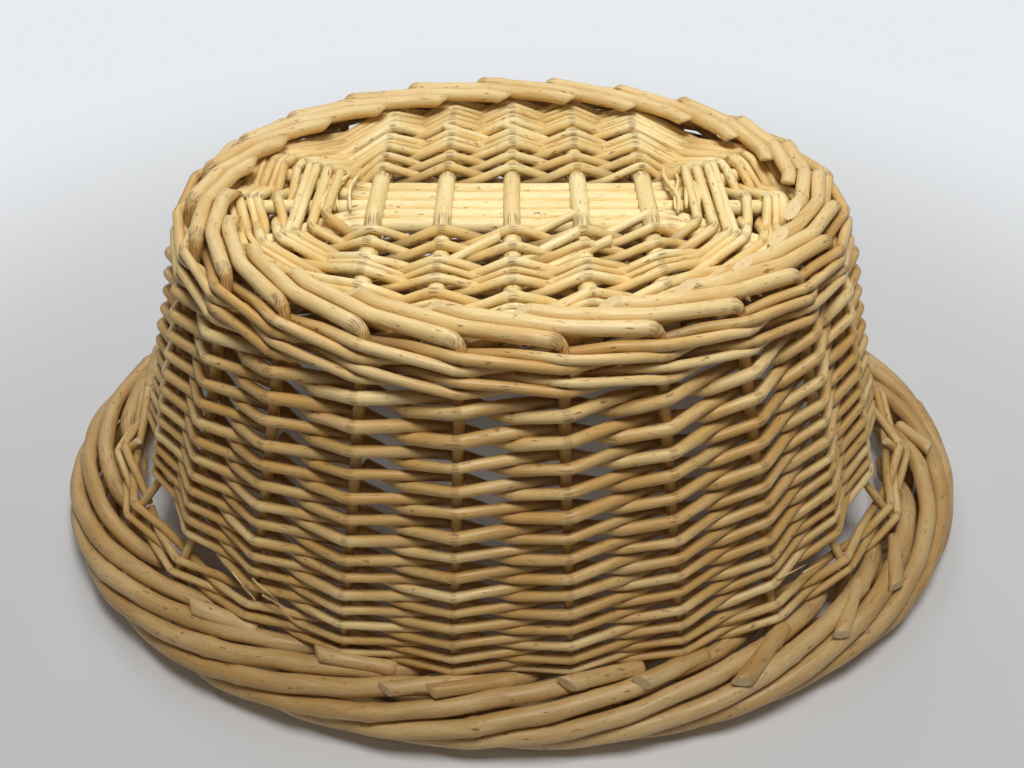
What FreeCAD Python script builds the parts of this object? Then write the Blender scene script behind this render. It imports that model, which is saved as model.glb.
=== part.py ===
import FreeCAD, Part
import math
import os

# Oval willow basket of stake-and-strand work, standing on its rim with the base on top.
# Millimetres, +Z up, +X along the length, origin at the centre of the rim's resting plane.

Vector = FreeCAD.Vector

# Overall form, on the centre line of the stakes
HEIGHT = 194.0               # floor to the flat top of the foot border
BASE_HALF_LENGTH = 142.5     # at the level of the base
BASE_HALF_WIDTH = 102.5
FLOOR_HALF_LENGTH = 216.8    # where the wall's line meets the floor
FLOOR_HALF_WIDTH = 158.0
CLEARANCE = 0.15             # between rods woven round one another
SEAT_GAP = 0.2               # between rods laid against one another
RESTING_FLAT = 0.5           # depth worn off where the border and the foot rest

# Side stakes, with their butts in the foot border and their tips in the rim border
STAKE_COUNT = 24
STAKE_BUTT_RADIUS = 3.1
STAKE_WALL_RADIUS = 2.4
STAKE_TIP_RADIUS = 2.1
FOOT_FLARE = 1.2             # foot border outside the stakes' line
FOOT_SPAN = 2.4              # length of a foot rod in stake spacings
FOOT_BEND = 3.0              # size of the bend from the wall into the foot border

# Base sticks: cross sticks split in the middle, long sticks pushed through the splits
LONG_STICK_COUNT = 5
LONG_STICK_RADIUS = 3.4
CROSS_STICK_COUNT = 5
CROSS_STICK_RADIUS = 3.9
CROSS_STICK_SPACING = 30.0
SPLIT_TAPER = 5.5            # length over which a split closes again
FAN_LENGTH = 11.0            # straight run of the long sticks past the last cross stick
WEAVE_START = 8.0            # from there to the first base round
FAN_ANGLE = 30.0             # degrees that the outer long sticks turn away at the ends

# Weaving: rounds of two weavers that cross between stakes, and wales of three
BASE_ROUNDS = 7
BUNDLED_ROUNDS = 3           # inner base rounds that take all long sticks together
BASE_WEAVER_RADIUS = 1.55
WALE_ROUNDS = 2
WALE_RADIUS = 1.95
WALL_ROUNDS = 12
BORDER_ROUNDS = 2            # lowest rounds, which keep to the border at the handles
WEAVER_BUTT_RADIUS = 2.4     # first side round
WEAVER_TIP_RADIUS = 1.75     # last side round
WEAVER_SPLIT = 3.0           # gap between a weaver's two ends behind a stake

# Rim border: rods laid as a rope, one from each stake, with the handles at its ends
BORDER_ROD_RADIUS = 4.5
BORDER_ROD_TIP_RADIUS = 4.1
BORDER_ROD_SPACINGS = 7      # stake spacings that one rod runs for
BORDER_FIRST_ANGLE = 112.0   # degrees round the rope where a rod passes its first stake
BORDER_SWEEP = 258.0         # degrees round the rope from there to the rod's end
BORDER_BUTT_RISE = 3.0       # a rod's butt above the rope's centre
BORDER_BUTT_SPAN = 0.11      # stake spacings that the butt reaches either side of its stake
BORDER_ELBOW = 0.55          # stake spacings from there to where it joins the rope
BORDER_END_REACH = 19.2      # rope centre outside the wall's floor line at the handles
BORDER_SIDE_REACH = 0.6      # and at the sides
HANDLE_RISE = 11.0           # wall rounds drawn up over the handles
HANDLE_STUB = 3.0            # cut stake left standing past a round at the handles

STEP = 2 * math.pi / STAKE_COUNT


def taper(first, last, share):
    """Value part of the way from first to last."""
    return first + (last - first) * share


def oval(half_length, half_width, angle, z):
    """Point of a level ellipse."""
    return Vector(half_length * math.cos(angle), half_width * math.sin(angle), z)


def oval_normal(half_length, half_width, angle):
    """Level unit vector out of an ellipse."""
    return Vector(half_width * math.cos(angle), half_length * math.sin(angle), 0).normalize()


def run_to_oval(start, heading, half_length, half_width):
    """Distance from a point inside an ellipse to the ellipse along a heading."""
    a = (heading.x / half_length) ** 2 + (heading.y / half_width) ** 2
    b = start.x * heading.x / half_length ** 2 + start.y * heading.y / half_width ** 2
    c = (start.x / half_length) ** 2 + (start.y / half_width) ** 2 - 1
    return (math.sqrt(b * b - a * c) - b) / a


def passing_offset(reach, along, level):
    """Offset beside a post that keeps the straight way to a point at the given reach from the post.

    The point lies this far along the ring from the post and at this level on the weaver's side.
    """
    spread = along ** 2 - reach ** 2
    root = math.sqrt((reach * level) ** 2 + spread * (along ** 2 + level ** 2))
    return reach * (root - reach * level) / spread


def crossing_rise(radius, reach):
    """Rise of a weaver, midway between posts, that clears the weaver passing below it."""
    apart = radius + SEAT_GAP / 2
    return apart / math.sqrt(1 - (apart / reach) ** 2)


def section(centre, tangent, guide, radius):
    """Circle across a rod, with its seam on the guide's side."""
    x = (guide - tangent * guide.dot(tangent)).normalize()
    y = tangent.cross(x)
    wire = Part.Wire(Part.makeCircle(radius))
    wire.Placement = FreeCAD.Placement(FreeCAD.Matrix(
        x.x, y.x, tangent.x, centre.x,
        x.y, y.y, tangent.y, centre.y,
        x.z, y.z, tangent.z, centre.z,
        0, 0, 0, 1))
    return wire


def rod(points, radii, guides):
    """Round rod along straight runs: ruled faces from one bend's circle to the next."""
    runs = [(b - a).normalize() for a, b in zip(points, points[1:])]
    tangents = [(a + b).normalize() for a, b in zip(runs[:1] + runs, runs + runs[-1:])]
    sections = [section(*place) for place in zip(points, tangents, guides, radii)]
    faces = [Part.makeRuledSurface(a.Edges[0], b.Edges[0], 1) for a, b in zip(sections, sections[1:])]
    shell = Part.makeShell(faces + [Part.Face(sections[0]), Part.Face(sections[-1])])
    shell.sewShape()
    return Part.makeSolid(shell)


# Rim border: radius of the rope on its rods' centres, so that neighbours just clear
border_turn = math.radians(BORDER_SWEEP / (BORDER_ROD_SPACINGS - 1))
border_a = FLOOR_HALF_LENGTH + BORDER_END_REACH
border_b = FLOOR_HALF_WIDTH + BORDER_SIDE_REACH
level_radius = (BORDER_ROD_RADIUS + CLEARANCE) / (math.sin(border_turn / 2) * math.cos(border_turn / 4))
tight_spacing = border_b * STEP * (1 - level_radius * border_a / border_b ** 2)
border_lay = math.hypot(1, level_radius * border_turn / tight_spacing)
border_radius = level_radius * border_lay


def border_rod_radius(spacings):
    """Radius of a border rod this many stake spacings from its butt."""
    return taper(BORDER_ROD_RADIUS, BORDER_ROD_TIP_RADIUS, spacings / BORDER_ROD_SPACINGS)


def border_offset(spacings):
    """Place of a border rod about the rope's centre: outwards and up."""
    angle = math.radians(BORDER_FIRST_ANGLE) - (spacings - 1) * border_turn
    return border_radius * math.cos(angle), border_radius * math.sin(angle)


wound_spacings = [1 + i / 2 for i in range(2 * BORDER_ROD_SPACINGS - 1)]
border_z = max(border_rod_radius(s) - border_offset(s)[1] for s in wound_spacings) - RESTING_FLAT
tip_out = border_offset(1)[0] - (border_rod_radius(1) + STAKE_TIP_RADIUS + SEAT_GAP) * border_lay
butt_out = tip_out - STAKE_TIP_RADIUS - BORDER_ROD_RADIUS - SEAT_GAP
tip_low = border_z + border_offset(BORDER_ROD_SPACINGS)[1] + BORDER_ROD_TIP_RADIUS + SEAT_GAP
tip_high = border_z + border_radius

# Base, hung from the foot border at the top of the basket
foot_z = HEIGHT + RESTING_FLAT - STAKE_BUTT_RADIUS
cross_reach = CROSS_STICK_RADIUS + BASE_WEAVER_RADIUS + CLEARANCE
long_reach = LONG_STICK_RADIUS + BASE_WEAVER_RADIUS + CLEARANCE
base_lift = passing_offset(cross_reach, CROSS_STICK_SPACING / 2, 0) + BASE_WEAVER_RADIUS
base_z = foot_z - STAKE_BUTT_RADIUS - SEAT_GAP - base_lift


def wall_half_length(z):
    """Half length of the stakes' line, straight from the base towards the floor."""
    return taper(FLOOR_HALF_LENGTH, BASE_HALF_LENGTH, z / base_z)


def wall_half_width(z):
    """Half width of the stakes' line."""
    return taper(FLOOR_HALF_WIDTH, BASE_HALF_WIDTH, z / base_z)


# Foot border
foot_a = wall_half_length(foot_z) + FOOT_FLARE
foot_b = wall_half_width(foot_z) + FOOT_FLARE
foot_pitch = 2 * STAKE_BUTT_RADIUS + SEAT_GAP
foot_turn = STEP * foot_a / foot_b / 2
foot_drift = math.asin(foot_pitch / (foot_b * STEP))
foot_step = foot_pitch / math.cos(foot_turn + foot_drift)

# Wales that grip the stakes round the edge of the base, close below the foot border
wale_rise = 1.16 * WALE_RADIUS + CLEARANCE
wale_height = 2 * (wale_rise + WALE_RADIUS) + CLEARANCE
wale_top = foot_z - STAKE_BUTT_RADIUS - SEAT_GAP
wale_bottom = wale_top - WALE_ROUNDS * wale_height
wale_depth = STAKE_WALL_RADIUS + 2 * WALE_RADIUS + CLEARANCE + SEAT_GAP
base_edge_a = wall_half_length(wale_top) - wale_depth
base_edge_b = wall_half_width(wale_top) - wale_depth
weave_edge_a = base_edge_a - 2 * BASE_WEAVER_RADIUS
weave_edge_b = base_edge_b - 2 * BASE_WEAVER_RADIUS

# Base sticks
stick_pitch = 2 * LONG_STICK_RADIUS + CLEARANCE
bundle_half = (LONG_STICK_COUNT - 1) / 2 * stick_pitch + LONG_STICK_RADIUS
split_end = bundle_half + CLEARANCE + SPLIT_TAPER
weave_start_y = split_end + BASE_WEAVER_RADIUS + SEAT_GAP
fan_x = (CROSS_STICK_COUNT - 1) / 2 * CROSS_STICK_SPACING + FAN_LENGTH
weave_start_x = fan_x + WEAVE_START


def side_radius(index):
    """Radius of the weavers in a side round, counted from the base."""
    return taper(WEAVER_BUTT_RADIUS, WEAVER_TIP_RADIUS, index / (WALL_ROUNDS + BORDER_ROUNDS - 1))


def round_height(index):
    """Height that a side round takes up where its two weavers cross."""
    radius = side_radius(index)
    return 2 * (crossing_rise(radius, radius + STAKE_TIP_RADIUS) + radius) + CLEARANCE


wall_heights = [round_height(i) for i in range(WALL_ROUNDS)]
border_heights = [round_height(WALL_ROUNDS + i) for i in range(BORDER_ROUNDS)]
wall_low = tip_high + sum(border_heights)


def wall_point(angle, z):
    """Point of the stakes' line."""
    return oval(wall_half_length(z), wall_half_width(z), angle, z)


def stake_turn(angle):
    """Where a stake leaves the wall for the border, higher at the handles."""
    return wall_point(angle, wall_low + HANDLE_RISE * math.cos(angle) ** 4)


def border_angle(angle):
    """Angle on the rope's oval of the place straight out from a stake on the wall."""
    turn = stake_turn(angle)
    out = oval_normal(FLOOR_HALF_LENGTH, FLOOR_HALF_WIDTH, angle)
    place = turn + out * run_to_oval(turn, out, border_a, border_b)
    return math.atan2(place.y / border_b, place.x / border_a)


def stake_tip(angle, z):
    """Point of a stake's tip on the inner side of the border."""
    here = border_angle(angle)
    return oval(border_a, border_b, here, z) + oval_normal(border_a, border_b, here) * tip_out


def stake_radius(z):
    """Radius of a stake between the base and the border."""
    return taper(STAKE_TIP_RADIUS, STAKE_WALL_RADIUS, (z - tip_high) / (base_z - tip_high))


def is_handle_stake(angle):
    """Whether a stake is one of the two cut out of a handle."""
    return abs(math.cos(angle)) > math.cos(STEP)


stake_angles = [(i + 0.5) * STEP for i in range(STAKE_COUNT)]


# Weaving round a ring of posts, each with a direction along its own stake or stick
def ring_outs(posts, ups):
    """Unit vectors out of the work at each post."""
    around = zip(posts[-1:] + posts[:-1], posts[1:] + posts[:1], ups)
    return [(after - before).cross(up).normalize() for before, after, up in around]


def draw_apart(path):
    """Open a closed path by a gap between its two ends."""
    first = path[0] + (path[1] - path[0]).normalize() * WEAVER_SPLIT / 2
    last = path[-1] + (path[-2] - path[-1]).normalize() * WEAVER_SPLIT / 2
    return [first] + path[1:-1] + [last]


def weaver(posts, ups, reaches, faces, lifts, radius, cross, first):
    """One weaver round the ring, opened behind the first post that it passes behind.

    faces gives the side of each post, lifts its height there, and cross the height
    at which it changes sides between two posts, above on the way in and below on the way out.
    """
    count = len(posts)
    crossings = []
    for here in range(count):
        ahead = (here + 1) % count
        rise = (ups[here] + ups[ahead]).normalize() * faces[here] * cross
        middle = (posts[here] + posts[ahead]) / 2
        crossings.append(None if faces[ahead] == faces[here] else middle + rise)
    outs = ring_outs(posts, ups)
    start = next(i % count for i in range(first, first + count) if faces[i % count] < 0)
    path, guides = [], []
    for i in range(start, start + count + 1):
        here = i % count
        side = outs[here] * faces[here]
        along = side.cross(ups[here])
        ways = [point - posts[here] for point in (crossings[here - 1], crossings[here]) if point is not None]
        offsets = [passing_offset(reaches[here], abs(way.dot(along)), way.dot(side)) for way in ways]
        path.append(posts[here] + side * max(offsets + [reaches[here]]) + ups[here] * lifts[here])
        guides.append(ups[here])
        if crossings[here] is not None and i < start + count:
            path.append(crossings[here])
            guides.append(ups[here])
    return rod(draw_apart(path), [radius] * len(path), guides)


def pairing(posts, ups, reaches, fronts, radius, first):
    """Round of two weavers, one on each side of every post."""
    level = [0] * len(posts)
    cross = crossing_rise(radius, min(reaches))
    return Part.makeCompound([
        weaver(posts, ups, reaches, [side * front for front in fronts], level, radius, cross, first)
        for side in (1, -1)])


def waling(posts, ups, reach, radius, rise):
    """Round of three weavers, each in front of two posts and behind the third."""
    count = len(posts)
    faces = (1, 1, -1)
    lifts = (rise, -rise, 0)
    weavers = []
    for turn in range(3):
        phases = [(i - turn) % 3 for i in range(count)]
        weavers.append(weaver(posts, ups, [reach] * count, [faces[p] for p in phases],
                              [lifts[p] for p in phases], radius, -rise, turn))
    return Part.makeCompound(weavers)


# Base
def long_stick_end(index, end):
    """Bend and heading of a long stick at one end of the base: the middle one runs straight."""
    place = index - (LONG_STICK_COUNT - 1) / 2
    group = (place > 0) - (place < 0)
    angle = math.radians(FAN_ANGLE) * group
    early = max(abs(place) - 1, 0) * stick_pitch * math.tan(abs(angle) / 2)
    bend = Vector(end * (fan_x - early), place * stick_pitch, base_z)
    return bend, Vector(end * math.cos(angle), math.sin(angle), 0)


def long_stick(index):
    """Stick through the splits, fanned out at both ends."""
    points = []
    for end in (-1, 1):
        bend, heading = long_stick_end(index, end)
        tip = bend + heading * run_to_oval(bend, heading, base_edge_a, base_edge_b)
        points += [tip, bend] if end < 0 else [bend, tip]
    return rod(points, [LONG_STICK_RADIUS] * 4, [Vector(0, 0, 1)] * 4)


def cross_stick_x(index):
    """Place of a cross stick along the base."""
    return (index - (CROSS_STICK_COUNT - 1) / 2) * CROSS_STICK_SPACING


def cross_stick_end(x, half_length, half_width):
    """Distance of an oval from the long axis at a cross stick."""
    return half_width * math.sqrt(1 - (x / half_length) ** 2)


def split_half(x, side):
    """Half of a cross stick that bows over or under the bundle of long sticks."""
    open_y = bundle_half + CLEARANCE
    bow = LONG_STICK_RADIUS + CLEARANCE
    profiles = []
    for y, z in ((-split_end, 0), (-open_y, bow), (open_y, bow), (split_end, 0)):
        left = Vector(x - CROSS_STICK_RADIUS, y, base_z + side * z)
        right = Vector(x + CROSS_STICK_RADIUS, y, base_z + side * z)
        crown = Vector(x, y, base_z + side * (z + CROSS_STICK_RADIUS))
        profiles.append(Part.Wire([Part.Arc(left, crown, right).toShape(), Part.makeLine(right, left)]))
    return Part.makeLoft(profiles, True, True)


def cross_stick(index):
    """Split stick that holds the long sticks."""
    x = cross_stick_x(index)
    end_y = cross_stick_end(x, base_edge_a, base_edge_b)
    pieces = [split_half(x, 1), split_half(x, -1)]
    for side in (-1, 1):
        start = Vector(x, side * split_end, base_z)
        pieces.append(Part.makeCylinder(CROSS_STICK_RADIUS, end_y - split_end, start, Vector(0, side, 0)))
    return pieces[0].fuse(pieces[1:])


def cross_posts(share, side):
    """Posts of a base round on one side, from left to right."""
    posts = []
    for index in range(CROSS_STICK_COUNT):
        x = cross_stick_x(index)
        edge = cross_stick_end(x, weave_edge_a, weave_edge_b)
        posts.append(Vector(x, side * taper(weave_start_y, edge, share), base_z))
    return posts


def long_post(index, share, end):
    """Post of a base round on a long stick, and the direction along the stick to the middle."""
    bend, heading = long_stick_end(index, end)
    first = (weave_start_x - abs(bend.x)) / abs(heading.x)
    last = run_to_oval(bend, heading, weave_edge_a, weave_edge_b)
    return bend + heading * taper(first, last, share), heading * -1


def base_round(index):
    """Round of pairing about the base sticks; the inner rounds take the long sticks as one."""
    share = index / (BASE_ROUNDS - 1)
    middle = LONG_STICK_COUNT // 2
    if index < BUNDLED_ROUNDS:
        groups = [[0, LONG_STICK_COUNT - 1]]
    else:
        groups = [list(range(middle)), [middle], list(range(middle + 1, LONG_STICK_COUNT))]
    posts, ups, reaches, fronts = [], [], [], []
    front = 1
    for side in (-1, 1):
        row = cross_posts(share, side)
        for post in row[::-side]:
            posts.append(post)
            ups.append(Vector(0, -side, 0))
            reaches.append(cross_reach)
            fronts.append(front)
            front = -front
        for group in groups[::-side]:
            for stick in group[::-side]:
                post, up = long_post(stick, share, -side)
                posts.append(post)
                ups.append(up)
                reaches.append(long_reach)
                fronts.append(front)
            front = -front
    return pairing(posts, ups, reaches, fronts, BASE_WEAVER_RADIUS, index)


# Wall
def wale(index):
    """Wale round the stakes, from the foot border down."""
    z = wale_top - (index + 0.5) * wale_height
    posts = [wall_point(a, z) for a in stake_angles]
    ups = [(wall_point(a, base_z) - wall_point(a, 0)).normalize() for a in stake_angles]
    return waling(posts, ups, stake_radius(z) + WALE_RADIUS + CLEARANCE, WALE_RADIUS, wale_rise)


def wall_round(index):
    """Round of pairing on the wall, drawn up towards the handles."""
    share = (sum(wall_heights[:index]) + wall_heights[index] / 2) / sum(wall_heights)
    tops = [wall_point(a, wale_bottom) for a in stake_angles]
    turns = [stake_turn(a) for a in stake_angles]
    posts = [top + (turn - top) * share for top, turn in zip(tops, turns)]
    ups = [(top - turn).normalize() for top, turn in zip(tops, turns)]
    return side_round(posts, ups, index)


def border_round(index):
    """Round of pairing next to the border, which leaves the wall at the handles."""
    height = sum(border_heights[index + 1:]) + border_heights[index] / 2
    tips = [stake_tip(a, tip_high) for a in stake_angles]
    ups = [(stake_turn(a) - tip).normalize() for a, tip in zip(stake_angles, tips)]
    posts = [tip + up * height for tip, up in zip(tips, ups)]
    return side_round(posts, ups, WALL_ROUNDS + index)


def side_round(posts, ups, index):
    """Round of pairing about the stakes, opened behind a different stake in each round."""
    radius = side_radius(index)
    reaches = [stake_radius(post.z) + radius + CLEARANCE for post in posts]
    fronts = [1 if i % 2 else -1 for i in range(STAKE_COUNT)]
    return pairing(posts, ups, reaches, fronts, radius, index * 5)


def foot_corner(angle, spacings):
    """Corner of a foot rod a whole number of stake spacings on from its own stake, drawn inwards."""
    here = angle - spacings * STEP
    return oval(foot_a, foot_b, here, foot_z) - oval_normal(foot_a, foot_b, here) * spacings * foot_step


def foot_point(angle, spacings):
    """Point on a foot rod's straight run between two corners."""
    corner = math.floor(spacings)
    start, end = foot_corner(angle, corner), foot_corner(angle, corner + 1)
    return start + (end - start) * (spacings - corner)


def stake(angle):
    """Stake with its butt laid along the foot border, its wall run and its tip."""
    bend_share = FOOT_BEND / (foot_point(angle, 1) - foot_point(angle, 0)).Length
    runs = [FOOT_SPAN] + list(range(math.ceil(FOOT_SPAN) - 1, 0, -1)) + [bend_share]
    points = [foot_point(angle, s) for s in runs]
    guides = [oval_normal(foot_a, foot_b, angle - s * STEP) for s in runs]
    radii = [STAKE_BUTT_RADIUS] * len(runs)
    for point in (wall_point(angle, foot_z - FOOT_BEND), stake_turn(angle)):
        points.append(point)
        radii.append(stake_radius(point.z))
    if not is_handle_stake(angle):
        points += [stake_tip(angle, tip_high), stake_tip(angle, tip_low)]
        radii += [STAKE_TIP_RADIUS] * 2
    guides += [oval_normal(foot_a, foot_b, angle)] * (len(points) - len(guides))
    return rod(points, radii, guides)


def handle_tip(angle):
    """Tip of a stake that was cut out of a handle, left in the border and its rounds."""
    tip = stake_tip(angle, tip_high)
    up = (stake_turn(angle) - tip).normalize()
    points = [stake_tip(angle, tip_low), tip, tip + up * (sum(border_heights) + HANDLE_STUB)]
    return rod(points, [STAKE_TIP_RADIUS] * 3, [oval_normal(border_a, border_b, angle)] * 3)


# Rim border
def border_rod(angle):
    """Rod from behind its stake, out below the next round and once about the rope."""
    butt = butt_out, BORDER_BUTT_RISE
    places = [(-BORDER_BUTT_SPAN, butt), (BORDER_BUTT_SPAN, butt)]
    places += [(s, border_offset(s)) for s in [BORDER_ELBOW] + wound_spacings]
    points, radii = [], []
    for spacings, (out, rise) in places:
        here = border_angle(angle - spacings * STEP)
        centre = oval(border_a, border_b, here, border_z + rise)
        points.append(centre + oval_normal(border_a, border_b, here) * out)
        radii.append(border_rod_radius(spacings))
    return rod(points, radii, [Vector(0, 0, 1)] * len(points))


reach = 2 * (border_a + border_radius + BORDER_ROD_RADIUS)
standing_room = Part.makeBox(reach, reach, HEIGHT, Vector(-reach / 2, -reach / 2, 0))

nodes = {}
for i in range(LONG_STICK_COUNT):
    nodes["base_long_stick_%d" % (i + 1)] = long_stick(i)
for i in range(CROSS_STICK_COUNT):
    nodes["base_cross_stick_%d" % (i + 1)] = cross_stick(i)
for i in range(BASE_ROUNDS):
    nodes["base_round_%d" % (i + 1)] = base_round(i)
for i in range(WALE_ROUNDS):
    nodes["upsett_wale_%d" % (i + 1)] = wale(i)
for i in range(WALL_ROUNDS):
    nodes["wall_round_%02d" % (i + 1)] = wall_round(i)
for i in range(BORDER_ROUNDS):
    nodes["border_round_%d" % (i + 1)] = border_round(i)
for i, angle in enumerate(stake_angles):
    nodes["side_stake_%02d" % (i + 1)] = stake(angle).common(standing_room)
nodes["handle_stake_tips"] = Part.makeCompound([handle_tip(a) for a in stake_angles if is_handle_stake(a)])
nodes["rim_border_rods"] = Part.makeCompound([border_rod(a).common(standing_room) for a in stake_angles])

os.makedirs("parts", exist_ok=True)
for name, shape in nodes.items():
    shape.exportStep("parts/%s.step" % name)
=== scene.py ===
import logging
import math
from dataclasses import dataclass, field, replace
from enum import Enum
from typing import Any

import bpy
import numpy as np
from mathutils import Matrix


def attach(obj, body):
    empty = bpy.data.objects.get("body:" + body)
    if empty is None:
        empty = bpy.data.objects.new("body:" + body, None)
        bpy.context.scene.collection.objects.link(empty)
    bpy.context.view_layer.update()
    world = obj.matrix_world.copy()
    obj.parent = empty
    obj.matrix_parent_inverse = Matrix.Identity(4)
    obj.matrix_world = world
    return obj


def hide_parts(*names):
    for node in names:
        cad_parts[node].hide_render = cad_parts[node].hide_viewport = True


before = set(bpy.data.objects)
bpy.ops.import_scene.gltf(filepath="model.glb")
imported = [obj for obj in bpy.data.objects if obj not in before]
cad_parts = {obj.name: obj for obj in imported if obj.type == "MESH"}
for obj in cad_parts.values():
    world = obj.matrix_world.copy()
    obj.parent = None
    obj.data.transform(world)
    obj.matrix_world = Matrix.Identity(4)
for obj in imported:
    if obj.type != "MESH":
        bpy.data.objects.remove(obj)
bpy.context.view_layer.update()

# Looks of an oval willow basket that stands on its rim. Lengths are in millimetres until a mesh is made.
MM = 0.001
BODY = "root"
UP = np.array([0.0, 0.0, 1.0])
CROSSING_GAP = 0.1
RIPPLE_GAIN = 1.4
Array = np.ndarray
Rng = np.random.Generator
Range = tuple[float, float]
Place = tuple[float, float, float]
Colour = tuple[float, float, float, float]
# Size of a rod's bends, points on each bend and points on each straight run.
Bends = tuple[float, int, int]
log = logging.getLogger("basket")


def pair(x: float, y: float) -> Any:
    """Dataclass field that holds an array of two numbers."""
    return field(default_factory=lambda: np.array([x, y]))


def put(name: str, data: Any) -> bpy.types.Object:
    """Make an object of this data in the scene.

    Args:
        name: Its name.
        data: Its mesh, camera or light.

    Returns:
        The object.
    """
    made = bpy.data.objects.new(name, data)
    bpy.context.scene.collection.objects.link(made)
    return made


class Slot(Enum):
    """Material slots of the record."""

    BASE = "base_willow"
    WEAVER = "weaver_willow"
    STAKE = "stake_willow"
    BORDER = "border_willow"


@dataclass(frozen=True)
class Make:
    """How one kind of piece is made: its slot, the sides of each rod and the seed of the first piece's grain."""

    slot: Slot
    sides: int
    seed: int


class Kind(Enum):
    """Kinds of pieces."""

    LONG_STICK = Make(Slot.BASE, 18, 20)
    CROSS_STICK = Make(Slot.BASE, 18, 40)
    BASE_ROUND = Make(Slot.BASE, 12, 60)
    WALE = Make(Slot.WEAVER, 12, 100)
    WALL_ROUND = Make(Slot.WEAVER, 12, 120)
    BORDER_ROUND = Make(Slot.WEAVER, 12, 140)
    STAKE = Make(Slot.STAKE, 16, 160)
    HANDLE_TIPS = Make(Slot.STAKE, 14, 190)
    ROPE = Make(Slot.BORDER, 20, 210)
    TAILS = Make(Slot.BORDER, 18, 230)
    BUTTS = Make(Slot.BASE, 16, 231)
    STRIPS = Make(Slot.BASE, 8, 232)
    SPLINTERS = Make(Slot.WEAVER, 8, 233)


class Sock:
    """A shader socket that takes part in Python arithmetic, where each operation adds a Math node."""

    def __init__(self, graph: "Graph", socket: bpy.types.NodeSocket | None) -> None:
        """Keep the graph and the socket."""
        self.graph = graph
        self.socket = socket

    def _math(self, operation: str, first: Any, second: Any) -> "Sock":
        """Add a Math node on two values."""
        return self.graph.node("ShaderNodeMath", {"operation": operation}, {0: first, 1: second})

    def __add__(self, other: Any) -> "Sock":
        """Sum."""
        return self._math("ADD", self, other)

    __radd__ = __add__

    def __sub__(self, other: Any) -> "Sock":
        """Difference."""
        return self._math("SUBTRACT", self, other)

    def __rsub__(self, other: Any) -> "Sock":
        """Difference from a number."""
        return self._math("SUBTRACT", other, self)

    def __mul__(self, other: Any) -> "Sock":
        """Product."""
        return self._math("MULTIPLY", self, other)

    __rmul__ = __mul__

    def over(self, other: "Sock") -> "Sock":
        """Larger of two values."""
        return self._math("MAXIMUM", self, other)

    def band(self, low: float, high: float) -> "Sock":
        """Smooth step from 0 at low to 1 at high.

        Args:
            low: Value that gives 0.
            high: Value that gives 1, which may lie below low.

        Returns:
            The stepped value.
        """
        ends = (0.0, 1.0) if low < high else (1.0, 0.0)
        span = {0: self, 1: min(low, high), 2: max(low, high), 3: ends[0], 4: ends[1]}
        return self.graph.node("ShaderNodeMapRange", {"interpolation_type": "SMOOTHSTEP"}, span)


class Graph:
    """Node tree of one material or of the world.

    Attributes:
        MIX_INPUTS: Factor and two colours among a Mix node's inputs.
        MIX_OUTPUT: Colour among its outputs.
    """

    MIX_INPUTS = (0, 6, 7)
    MIX_OUTPUT = 2

    def __init__(self, holder: bpy.types.Material | bpy.types.World) -> None:
        """Empty the holder's tree.

        Args:
            holder: Material or world.
        """
        self.holder = holder
        self.holder.use_nodes = True
        self.tree = self.holder.node_tree
        self.tree.nodes.clear()

    def node(self, kind: str, settings: dict[str, Any], inputs: dict[Any, Any], output: int | str = 0) -> Sock:
        """Add any node.

        Args:
            kind: Type of the node.
            settings: Properties that are set first.
            inputs: Values or sockets, by the name or the index of the node's input.
            output: Name or index of the output that is used.

        Returns:
            The output, ready for arithmetic.
        """
        made = self.tree.nodes.new(kind)
        for name, value in settings.items():
            setattr(made, name, value)
        for key, value in inputs.items():
            if isinstance(value, Sock):
                self.tree.links.new(value.socket, made.inputs[key])
            else:
                made.inputs[key].default_value = value
        return Sock(self, made.outputs[output] if made.outputs else None)

    def attribute(self, name: str, output: str = "Fac") -> Sock:
        """Number or vector that a mesh carries."""
        return self.node("ShaderNodeAttribute", {"attribute_name": name}, {}, output)

    def mix(self, first: Any, second: Any, factor: Any, blend: str = "MIX") -> Sock:
        """Mix of two colours."""
        inputs = dict(zip(self.MIX_INPUTS, (factor, first, second)))
        return self.node("ShaderNodeMix", {"data_type": "RGBA", "blend_type": blend}, inputs, self.MIX_OUTPUT)

    def seen(self) -> Sock:
        """1 on rays from the camera and from mirrors, which show the backdrop, and 0 on rays that carry light."""
        camera = self.node("ShaderNodeLightPath", {}, {}, "Is Camera Ray")
        return camera.over(self.node("ShaderNodeLightPath", {}, {}, "Is Glossy Ray"))

    def finish(self, shader: Sock, output: str = "ShaderNodeOutputMaterial") -> Any:
        """Connect the shader to the output and give the holder."""
        self.node(output, {}, {"Surface": shader})
        return self.holder


@dataclass(frozen=True)
class Speckle:
    """Noise in a rod: factors of places across and along it, and the noise's scale and detail."""

    across: float
    along: float
    scale: float
    detail: float

    def on(self, graph: Graph, grain: Sock) -> Sock:
        """Noise from 0 to 1 at places in the rod.

        Args:
            graph: Nodes to add to.
            grain: Places in the rod.

        Returns:
            The noise.
        """
        factors = (self.across, self.across, self.along)
        place = graph.node("ShaderNodeVectorMath", {"operation": "MULTIPLY"}, {0: grain, 1: factors})
        return graph.node("ShaderNodeTexNoise", {}, {"Vector": place, "Scale": self.scale, "Detail": self.detail})


@dataclass(frozen=True)
class Mark:
    """Strength at which a value shows: 0 at low and its share at high."""

    low: float
    high: float
    share: float = 1.0

    def on(self, value: Sock, mask: Sock | None = None) -> Sock:
        """Strength at which a value shows.

        Args:
            value: The value.
            mask: Factor of the strength.

        Returns:
            The strength, from 0 to the share.
        """
        strength = value.band(self.low, self.high)
        strength = strength if mask is None else strength * mask
        return strength if self.share == 1.0 else strength * self.share


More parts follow.
